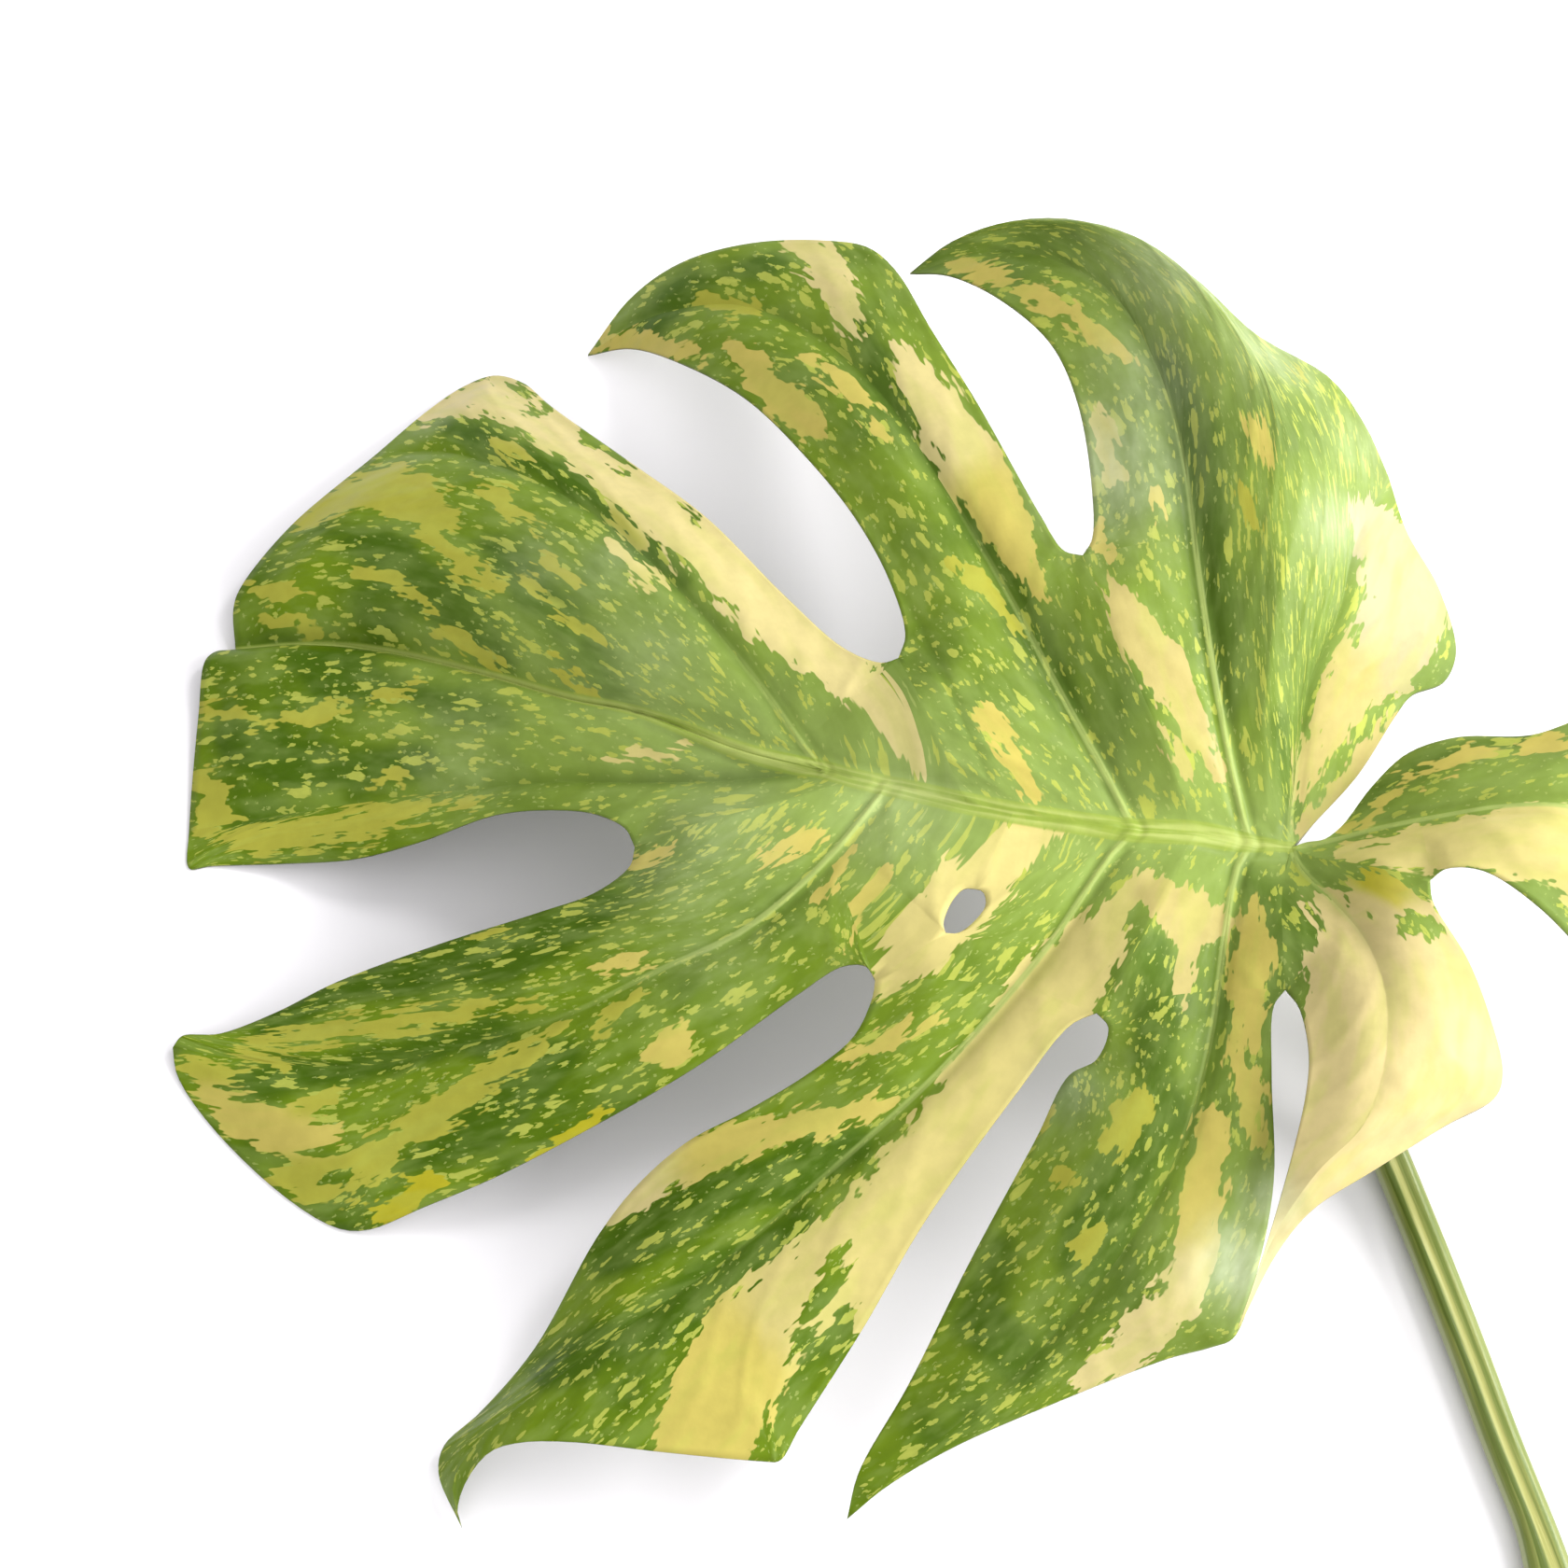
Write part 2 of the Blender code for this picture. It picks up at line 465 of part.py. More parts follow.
def stalk_mesh(blade_points, blade_faces):
    """The stalk's rings along its middle line, closed by a cap at each end.

    A ring is a circle with a shallow channel on top and a flat where it lies on the surface.
    The first ring lies flat below the blade, at the seat gap. Towards the cut end the right
    side spreads into the sheath."""
    tree = BVHTree.FromPolygons([Vector(point) for point in blade_points], blade_faces)
    seat = place([STALK_SEAT])[0] - np.array([0.0, 0.0, BLADE_THICKNESS + MIDRIB_DEPTH])
    path = stalk_path(seat)
    total = np.linalg.norm(np.diff(path, axis=0), axis=1).sum()
    rings = int(total / STALK_RING_SPACING)
    middle = read_curve(path, np.linspace(0.0, 1.0, rings + 1))
    travelled = np.concatenate([[0.0], np.cumsum(np.linalg.norm(np.diff(middle, axis=0), axis=1))])
    forward = np.gradient(middle, axis=0)
    forward[0] = (0.0, 0.0, -1.0)
    forward /= np.linalg.norm(forward, axis=1)[:, None]
    heading = middle[-1] - middle[0]
    heading[2] = 0.0
    heading /= np.linalg.norm(heading)
    level = forward * [1.0, 1.0, 0.0] + 0.02 * heading
    side = np.cross(level, [0.0, 0.0, 1.0])
    side /= np.linalg.norm(side, axis=1)[:, None]
    up = np.cross(side, forward)
    angle = np.linspace(0.0, 2 * math.pi, STALK_SIDES, endpoint=False)
    knee = np.exp(-(travelled / STALK_KNEE_LENGTH) ** 2)
    radius = (STALK_RADIUS + (STALK_KNEE_RADIUS - STALK_RADIUS) * knee)[:, None]
    sheath = np.clip((travelled - travelled[-1] + SHEATH_LENGTH) / SHEATH_LENGTH, 0.0, 1.0)[:, None]
    across = np.cos(angle)[None, :] * radius
    across = across + SHEATH_REACH * sheath ** 1.5 * np.clip(np.cos(angle), 0.0, 1.0)[None, :]
    height = np.sin(angle)[None, :] * radius
    channel = CHANNEL_DEPTH * np.exp(-((angle - math.pi / 2) / CHANNEL_HALF_ANGLE) ** 2)[None, :]
    height = height - channel * (1 - knee[:, None])
    points = (middle[:, None, :] + across[..., None] * side[:, None, :]
              + height[..., None] * up[:, None, :])
    points[..., 2] = np.maximum(points[..., 2], 0.0)
    heights = []
    for share in SEAT_SHARES:
        for point in seat + (points[0] - seat) * share:
            hit = tree.ray_cast(Vector((point[0], point[1], 0.0)), Vector((0.0, 0.0, 1.0)))[0]
            if hit is not None:
                heights.append(hit.z)
    points[0, :, 2] = min(heights) - STALK_SEAT_GAP
    ends = [points[0].mean(axis=0), points[-1].mean(axis=0)]
    vertices = np.concatenate([points.reshape(-1, 3), ends])
    faces = []
    for ring in range(rings):
        for k in range(STALK_SIDES):
            a = ring * STALK_SIDES + k
            b = ring * STALK_SIDES + (k + 1) % STALK_SIDES
            faces.append((a, b + STALK_SIDES, b))
            faces.append((a, a + STALK_SIDES, b + STALK_SIDES))
    last = rings * STALK_SIDES
    first_centre = len(vertices) - 2
    for k in range(STALK_SIDES):
        after = (k + 1) % STALK_SIDES
        faces.append((first_centre, k, after))
        faces.append((first_centre + 1, last + after, last + k))
    return vertices, faces


def add_piece(name, vertices, faces, colour, roughness):
    """An object of its own for one grown piece, with its plain finish."""
    mesh = bpy.data.meshes.new(name)
    mesh.from_pydata([tuple(vertex) for vertex in np.asarray(vertices) * MM], [], faces)
    mesh.validate()
    material = bpy.data.materials.new(name)
    material.use_nodes = True
    shader = material.node_tree.nodes["Principled BSDF"]
    shader.inputs["Base Color"].default_value = (*colour, 1.0)
    shader.inputs["Roughness"].default_value = roughness
    shader.inputs["Metallic"].default_value = 0.0
    mesh.materials.append(material)
    piece = bpy.data.objects.new(name, mesh)
    bpy.context.scene.collection.objects.link(piece)
    return piece


def build():
    for old in list(bpy.data.objects):
        bpy.data.objects.remove(old)
    blade_points, blade_faces = blade_mesh()
    add_piece("leaf_blade", blade_points, blade_faces, (0.13, 0.25, 0.04), 0.42)
    stalk_points, stalk_faces = stalk_mesh(blade_points, blade_faces)
    add_piece("petiole", stalk_points, stalk_faces, (0.33, 0.45, 0.15), 0.4)


build()
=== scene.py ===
import math

import bpy
import numpy as np
from mathutils import Euler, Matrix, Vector


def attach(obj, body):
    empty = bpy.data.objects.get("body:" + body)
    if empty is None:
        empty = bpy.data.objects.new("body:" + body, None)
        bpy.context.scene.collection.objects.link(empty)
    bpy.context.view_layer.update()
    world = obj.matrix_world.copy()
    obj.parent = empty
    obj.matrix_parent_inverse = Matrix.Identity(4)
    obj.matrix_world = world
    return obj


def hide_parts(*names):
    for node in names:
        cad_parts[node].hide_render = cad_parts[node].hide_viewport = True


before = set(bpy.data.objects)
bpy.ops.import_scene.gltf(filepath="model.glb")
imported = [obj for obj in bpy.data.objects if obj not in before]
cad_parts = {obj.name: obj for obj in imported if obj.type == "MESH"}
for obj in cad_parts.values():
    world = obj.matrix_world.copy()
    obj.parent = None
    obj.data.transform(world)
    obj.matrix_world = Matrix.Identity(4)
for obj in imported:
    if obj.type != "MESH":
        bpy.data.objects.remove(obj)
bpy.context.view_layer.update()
MM = 0.001

# The view: a camera above the leaf's near side, looking down on it along one fixed line.
EYE_ELEVATION = math.radians(70.0)
EYE_DISTANCE = 800.0
BOARD_HEIGHT = 30.0
ORIGIN_SHIFT = (-31.9, 27.1)
FRAME_WIDTH = 336.0
FILM_WIDTH = 36.0


def put(name, data):
    """A new object with this name and data, linked into the scene."""
    thing = bpy.data.objects.new(name, data)
    bpy.context.scene.collection.objects.link(thing)
    return thing


aim = np.array([ORIGIN_SHIFT[0], ORIGIN_SHIFT[1], BOARD_HEIGHT])
back = np.array([0.0, -math.cos(EYE_ELEVATION), math.sin(EYE_ELEVATION)])
view = bpy.data.cameras.new("view")
view.lens = FILM_WIDTH * EYE_DISTANCE / FRAME_WIDTH
view.sensor_width = FILM_WIDTH
view.sensor_fit = "HORIZONTAL"
view.clip_start = 0.01
eye = put("view", view)
eye.location = Vector((aim + back * EYE_DISTANCE) * MM)
eye.rotation_euler = Euler((math.pi / 2 - EYE_ELEVATION, 0.0, 0.0))
bpy.context.scene.camera = eye

# The surface and the light: a plain white table, soft light all round that is brighter above
# and on the far right, and one large low window on the right whose light runs in below the leaf.
TABLE_HALF = 2.5
TABLE_WHITE = (0.92, 0.90, 0.93)
TABLE_ROUGHNESS = 0.9
TABLE_SHEEN = 0.1
ROOM_WHITE = (1.0, 1.0, 1.0)
ROOM_BRIGHT_SIDE = (0.40, 0.05, 0.91)
ROOM_LEVELS = {"From Min": -0.2, "From Max": 0.9, "To Min": 0.42, "To Max": 1.14}

# The windows: name, place, width and power.
WINDOWS = [("window", (1.45, 0.15, 0.70), 0.8, 29.0),
    ("front_window", (0.7, -1.1, 0.80), 0.8, 7.0), ("rear_window", (0.75, 0.6, 1.15), 0.30, 6.0)]


def new_finish(name, mesh):
    """A new material on the mesh: its node tree and its shader."""
    material = bpy.data.materials.new(name)
    material.use_nodes = True
    mesh.materials.append(material)
    return material.node_tree, material.node_tree.nodes["Principled BSDF"]


def add(tree, kind, settings, sockets):
    """A shader node of the given kind, with its settings, its sockets given values or links."""
    node = tree.nodes.new("ShaderNode" + kind)
    for key, value in settings.items():
        setattr(node, key, value)
    for key, value in sockets.items():
        if isinstance(value, bpy.types.NodeSocket):
            tree.links.new(value, node.inputs[key])
        else:
            node.inputs[key].default_value = value
    return node


table_mesh = bpy.data.meshes.new("table")
table_mesh.from_pydata([(x * TABLE_HALF, y * TABLE_HALF, 0.0) for x, y in
                        ((-1, -1), (1, -1), (1, 1), (-1, 1))], [], [(0, 1, 2, 3)])
_, table_shader = new_finish("table_white", table_mesh)
table_shader.inputs["Base Color"].default_value = (*TABLE_WHITE, 1.0)
table_shader.inputs["Roughness"].default_value = TABLE_ROUGHNESS
table_shader.inputs["Specular IOR Level"].default_value = TABLE_SHEEN
table = put("table", table_mesh)

room = bpy.data.worlds.new("room")
room.use_nodes = True
room_place = add(room.node_tree, "TexCoord", {}, {}).outputs["Generated"]
room_side = add(room.node_tree, "VectorMath", {"operation": "DOT_PRODUCT"},
                {0: room_place, 1: ROOM_BRIGHT_SIDE}).outputs["Value"]
room_level = add(room.node_tree, "MapRange", {"interpolation_type": "SMOOTHSTEP"},
                 {"Value": room_side, **ROOM_LEVELS}).outputs["Result"]
room_light = room.node_tree.nodes["Background"]
room_light.inputs["Color"].default_value = (*ROOM_WHITE, 1.0)
room.node_tree.links.new(room_level, room_light.inputs["Strength"])
bpy.context.scene.world = room
for name, spot, width, power in WINDOWS:
    pane = bpy.data.lights.new(name, "AREA")
    pane.shape = "DISK"
    pane.size = width
    pane.energy = power
    window = put(name, pane)
    window.location = spot
    window.rotation_euler = Vector(spot).to_track_quat("Z", "Y").to_euler()
bpy.context.scene.view_settings.view_transform = "Standard"

# The blade: one leathery leaf sheet, grown with its midrib, side ribs, slits and hole, deep
# green with cream and lime patches. It arches over the table on its stalk and its lobes' tips.

# The midrib, from the stalk's seat to the root of the first side rib, with a point (u, v, z) at
# every root of a side rib or of a web between two lobes. In millimetres, u runs to the right
# and v upwards on a drawing board that faces the eye, and z is the height above the table.
MIDRIB = [(108.5, -14, 52), (100, -13, 53.5), (88, -11, 55.5), (75, -10, 57), (49, -6.5, 57),
    (39, -4.5, 56.5), (22, -0.5, 54.5), (14.5, 1, 53.5), (8, 3, 52)]

# The midrib's thin end, on to the notch at the leaf's tip: here and in the outlines below,
# u, v and z at one point after another.
TIP_RIB = (8, 3, 52, -8, 6.5, 48, -31, 15, 40, -46, 18, 34, -61.5, 22.5, 27, -73, 25.5, 21,
    -84.5, 28, 14, -98, 29.5, 8, -117.5, 28.5, 1.5)

# The side ribs, each from its root on the midrib to its lobe's tip.
VEINS = {
    "far1": (8, 3, 52, 3.5, 9, 52, -5, 21, 52, -18, 37, 49, -35, 53.5, 42, -48, 62.5, 34,
        -59, 67.5, 27, -72, 71, 17, -87, 71, 7),
    "far2": (75, -10, 57, 71, -2, 57, 60, 18, 60, 46.5, 43.5, 60, 33, 66, 56, 21.5, 83, 50,
        8.5, 95, 41, -8, 102.5, 31, -22, 102, 21, -32, 98.5, 12, -42, 92, 1),
    "far3": (100, -13, 53.5, 98, -6, 56, 92.5, 21, 64, 88.5, 47.5, 68, 85.5, 70, 68, 80, 89.5, 64,
        70, 105.5, 58, 54, 113.5, 50, 40, 113, 42, 27, 109.5, 34),
    "far4": (108.5, -14, 52, 108.5, -8, 53, 110, 5, 58, 113, 22.5, 64, 119, 37, 67, 122.5, 52, 68,
        129.5, 66, 66),
    "near1": (8, 3, 52, -10, 1, 47, -30, 0.5, 40, -50, 0.5, 32, -72, -1.5, 22, -98, -5, 11,
        -127.5, -10, 0.8),
    "near2": (22, -0.5, 54.5, 19, -4.5, 54.5, 8.5, -17, 53, -8, -31, 49, -27, -40, 42, -48, -50, 33,
        -69, -56, 23, -92, -60.5, 13, -116, -59, 6, -131, -56.5, 3),
    "near3": (75, -10, 57, 70.5, -14.5, 57, 56.5, -35, 56, 33.5, -61.5, 49, 11.5, -81.5, 41,
        -11.5, -101, 34, -34.5, -117, 29, -55, -132, 22, -65, -140.5, 15, -71, -150, 7,
        -69, -159.5, 3),
    "near4": (100, -13, 53.5, 97, -18, 55, 94.5, -32, 58, 91, -56.5, 62, 84, -80, 63, 72, -101, 57,
        50, -126, 42, 24, -148, 28, 13.5, -157.5, 22),
    "near5": (108.5, -14, 52, 111, -18.5, 55, 118.5, -26, 63, 125, -34, 71, 129, -45, 78,
        129, -59, 82, 124.5, -72.5, 80, 114, -83.5, 75, 105, -97, 66.5, 97, -117.5, 56),
    "near6": (108.5, -14, 52, 116, -12.5, 54, 128, -9.5, 60, 141, -7, 66, 153.5, -5, 70,
        168, -5, 72, 183, -11, 69, 192, -26, 59, 193, -42, 48, 190.5, -57, 38),
}

# Where two neighbouring lobes grow together: from the midrib to the end of the slit.
WEBS = {
    "far12": (39, -4.5, 56.5, 32, 11, 60, 24.5, 27, 58),
    "far23": (88, -11, 55.5, 81, 8, 62, 72, 28, 66, 64, 49, 66),
    "near12": (14.5, 1, 53.5, 2, -3.5, 53, -14, -8, 50, -32, -13.5, 44),
    "near23_base": (49, -6.5, 57, 41, -23.5, 56),
    "hole_left": (41, -23.5, 56, 38.5, -23.5, 56, 36, -26, 56, 34, -31, 55.5, 34.5, -33, 55),
    "hole_right": (41, -23.5, 56, 42.5, -24, 56, 43, -27, 56, 40, -31, 55.5, 37, -33, 55,
        34.5, -33, 55),
    "near23_end": (34.5, -33, 55, 19.5, -42, 53),
    "near34": (88, -11, 55.5, 77, -33, 61, 67, -49, 60),
    "near45": (108.5, -14, 52, 106.5, -24, 57, 106.5, -34, 63, 107.5, -44, 67),
    "near56": (108.5, -14, 52, 118, -17, 60, 128, -19, 68, 138.5, -20.5, 74),
}

# The free edges, each from a slit's end to a lobe's tip, or across a lobe's end.
MARGINS = {
    "far1_end": (-87, 71, 7, -106, 55, 8, -116.5, 42, 7, -118, 37.5, 5, -117.5, 28.5, 1.5),
    "far1_right": (24.5, 27, 58, 21, 26, 57, 13, 29, 54, 0, 40.5, 49, -16.5, 57, 42, -33, 69, 31,
        -50, 81, 15, -56, 86, 7, -62.5, 87.5, 1.5, -69, 85, 0.8, -77, 79.5, 3, -87, 71, 7),
    "far2_left": (24.5, 27, 58, 26, 32, 58, 22.5, 44, 56, 15, 57.5, 52, 4, 71, 45, -8, 82.5, 36,
        -21.5, 90, 24, -33, 93.5, 10, -42, 92, 1),
    "far2_right": (64, 49, 66, 60, 50, 65, 55, 57.5, 62, 41.5, 81.5, 54, 31.5, 97.5, 48,
        24, 110, 42, 18, 115, 38, 8.5, 116.5, 34, -6.5, 116, 29, -21.5, 112, 20, -33, 104, 9,
        -42, 92, 1),
    "far3_left": (64, 49, 66, 66, 52.5, 66, 66, 63.5, 65, 63, 81.5, 61, 57.5, 94, 57, 47, 103.5, 50,
        35.5, 109, 41, 27, 109.5, 34),
    "far34_end": (27, 109.5, 34, 35.5, 116, 40, 48, 120.5, 49.5, 62, 121, 56.5, 74.5, 117, 61.5,
        88, 108.5, 66, 101, 96.5, 69, 117, 87, 68, 124.5, 77, 67, 129.5, 66, 66),
    "far4_right": (108.5, -14, 52, 113, -9, 52, 123, 2, 50, 131, 14.5, 50, 134.5, 19, 49,
        141.5, 22, 46, 144, 28, 45, 140.5, 41.5, 50, 133.5, 54, 58, 129.5, 66, 66),
    "near1_end": (-127.5, -10, 0.8, -127, -2, 1.2, -125.5, 14.5, 3, -124, 26.5, 5, -121.5, 28.5, 4,
        -117.5, 28.5, 1.5),
    "near1_right": (-32, -13.5, 44, -34, -9.5, 43, -40, -6.5, 40, -48, -5.5, 35, -61.5, -6.5, 28,
        -78.5, -12.5, 18, -92, -16, 11, -107.5, -17, 4, -123, -17.5, 0.8, -127.5, -18, 0.6,
        -127.5, -10, 0.8),
    "near2_left": (-32, -13.5, 44, -33, -17.5, 43, -40, -23, 40, -52.5, -27.5, 34, -73, -34, 25,
        -96, -42.5, 14, -109, -49, 8, -121, -53.5, 5, -129, -54, 4, -131, -56.5, 3),
    "near2_right": (19.5, -42, 53, 17.5, -39, 53, 12.5, -39, 51, 3, -45, 46, -18, -60, 36,
        -38.5, -72, 26, -61.5, -84, 15, -77, -90.5, 8, -89.5, -95.5, 2, -96, -95, 0.8,
        -107.5, -88, 0.6, -123, -73, 0.6, -130, -62.5, 1.2, -131, -56.5, 3),
    "near3_left": (19.5, -42, 53, 19, -45.5, 52.5, 15, -54, 49, 6, -61.5, 45, -8, -70, 39,
        -20.5, -76.5, 34, -31.5, -86, 28, -40, -97, 24, -53.5, -121, 15, -65, -134.5, 9,
        -73, -142, 5, -74, -148, 3, -69, -159.5, 3),
    "near3_right": (67, -49, 60, 61.5, -51.5, 59, 50, -66, 53, 30, -94, 43, 17, -116.5, 35,
        3, -138.5, 28, -1, -145, 26, -5.5, -145, 26, -27, -143, 26, -45, -141, 25, -56, -141, 22,
        -63, -143, 17, -68.5, -150, 9, -70, -156, 4, -69, -159.5, 3),
    "near4_left": (67, -49, 60, 69.5, -52, 60, 67, -59, 58, 61, -62.5, 56, 54, -76, 52,
        40, -102, 44, 26.5, -129, 34, 16, -147.5, 26, 13.5, -157.5, 22),
    "near4_right": (107.5, -44, 67, 105, -47.5, 67, 104.5, -62, 66, 105, -84.5, 61, 102, -102, 57,
        96.5, -118.5, 53, 92, -120.5, 51, 82.5, -123, 47, 59.5, -132, 39, 36.5, -142, 32,
        22, -150.5, 26.5, 13.5, -157.5, 22),
    "near5_left": (107.5, -44, 67, 110.5, -48, 72, 112.5, -57.5, 77, 112, -65.5, 78, 108.5, -81, 74,
        102, -103, 64, 97, -117.5, 56),
    "near5_right": (138.5, -20.5, 74, 139, -25, 74, 146.5, -37.5, 74, 151, -49, 74, 154, -61.5, 72,
        152.5, -67, 70, 142, -73, 70, 126, -83, 71.5, 113.5, -91, 69, 106, -100, 64,
        97, -117.5, 56),
    "near6_lower": (138.5, -20.5, 74, 142, -18, 76, 150, -18.5, 78, 161.5, -26, 78, 174, -39, 72,
        183, -50, 58, 190.5, -57, 38),
    "near6_upper": (108.5, -14, 52, 112, -12.5, 52.5, 115.5, -12, 54, 119.5, -9, 54, 126, -0.5, 56,
        133.5, 6.5, 58, 144, 10, 61, 160, 10.5, 66, 176, 15, 68, 192, 10, 64, 202, -6, 57,
        202.5, -32, 47, 190.5, -57, 38),
}

# Each half of a lobe: its side rib, the midrib points at that rib's root and at the web's root,
# the web's stretches out to the slit's end, and its free edge.
HALF_LOBES = [
    ("far1", 8, 5, ("far12",), "far1_right"),
    ("far2", 3, 5, ("far12",), "far2_left"),
    ("far2", 3, 2, ("far23",), "far2_right"),
    ("far3", 1, 2, ("far23",), "far3_left"),
    ("near1", 8, 7, ("near12",), "near1_right"),
    ("near2", 6, 7, ("near12",), "near2_left"),
    ("near2", 6, 4, ("near23_base", "hole_left", "near23_end"), "near2_right"),
    ("near3", 3, 4, ("near23_base", "hole_right", "near23_end"), "near3_left"),
    ("near3", 3, 2, ("near34",), "near3_right"),
    ("near4", 1, 2, ("near34",), "near4_left"),
    ("near4", 1, 0, ("near45",), "near4_right"),
    ("near5", 0, 0, ("near45",), "near5_left"),
    ("near5", 0, 0, ("near56",), "near5_right"),
    ("near6", 0, 0, ("near56",), "near6_lower"),
]

# The share of each side rib that lies below the line across to the slits' ends.
BRIDGE = {
    "far1": 0.05, "far2": 0.27, "far3": 0.38, "far4": 0.3, "near1": 0.22, "near2": 0.11,
    "near3": 0.19, "near4": 0.18, "near5": 0.18, "near6": 0.22,
}

# Columns along each stretch of the midrib from one point to the next, and rows along each web.
MIDRIB_STEPS = (32, 24, 24, 24, 12, 12, 20, 20)
WEB_ROWS = {"near23_base": 4, "hole_left": 16, "hole_right": 16, "near23_end": 4}
BASE_ROWS = 24
LOBE_ROWS = 56
FAN_COLUMNS = 28
CORNER_WEIGHT = 14.0
COLUMN_GRADING = 1.45
BASE_GRADING = 1.25
CORNER_HOLD = 0.25
HALF_LOBE_SHIFT = 400.0
CURVE_FINENESS = 40
EDGE_FINENESS = 400
CURVE_POINTS = 33

# The sheet's thickness, its swellings between the ribs, and the ribs' keels below it.
BLADE_THICKNESS = 0.9
LAMINA_THICKNESS = 0.55
STEEPEST = 0.4
QUILT_HEIGHT = 4.2
QUILT_WIDTH = 9.0
EDGE_FADE = 14.0
MIDRIB_DEPTH = 3.6
MIDRIB_HALF_WIDTH = 3.4
SIDE_RIB_DEPTH = 1.5
SIDE_RIB_HALF_WIDTH = 1.9
TIP_RIB_SHARE = 0.12
RIB_EDGE_FADE = 6.0
SEAT_BOSS_RADIUS = 7.5
STALK_SEAT = (106.5, -14.5, 52)

# The crests on the upper side, how far along it each side rib shows one, and the creases.
MIDRIB_CREST = 1.1
MIDRIB_CREST_HALF = (2.8, 0.8)
SIDE_CREST = 0.7
SIDE_CREST_HALF = 0.7
RIB_SHOWN = {
    "far1": 0.28, "far2": 0.42, "far3": 0.65, "far4": 0.3, "near1": 0.06, "near2": 0.55,
    "near3": 0.6, "near4": 0.45, "near5": 0.3, "near6": 0.8,
}
RIB_SHOWN_FADE = 0.35
MINOR_FOLDS = [
    (-31, 15, 1.2, -38.5, 24.5, 2, -42.5, 32, 2.4, -50, 40, 2.4, -72, 56, 2, -88, 64, 0.6),
    (-60, 24, 1, -69, 32, 1.8, -80.5, 41.5, 1.8, -89, 46, 1.4, -104, 52, 0.6),
    (44, 0, 0.8, 38.5, 12, 1.3, 28, 36, 1.3, 19, 52, 0.8),
]
MINOR_FOLD_EDGE = 2.4
CREASE_DEPTH = 0.9
CREASE_HALF = 1.9
NEAR5_CREASE = 0.25
GROOVE_DEPTH = 0.45
GROOVE_AT = 1.7
GROOVE_HALF = 0.9
MIDRIB_GROOVE_GAP = 0.9

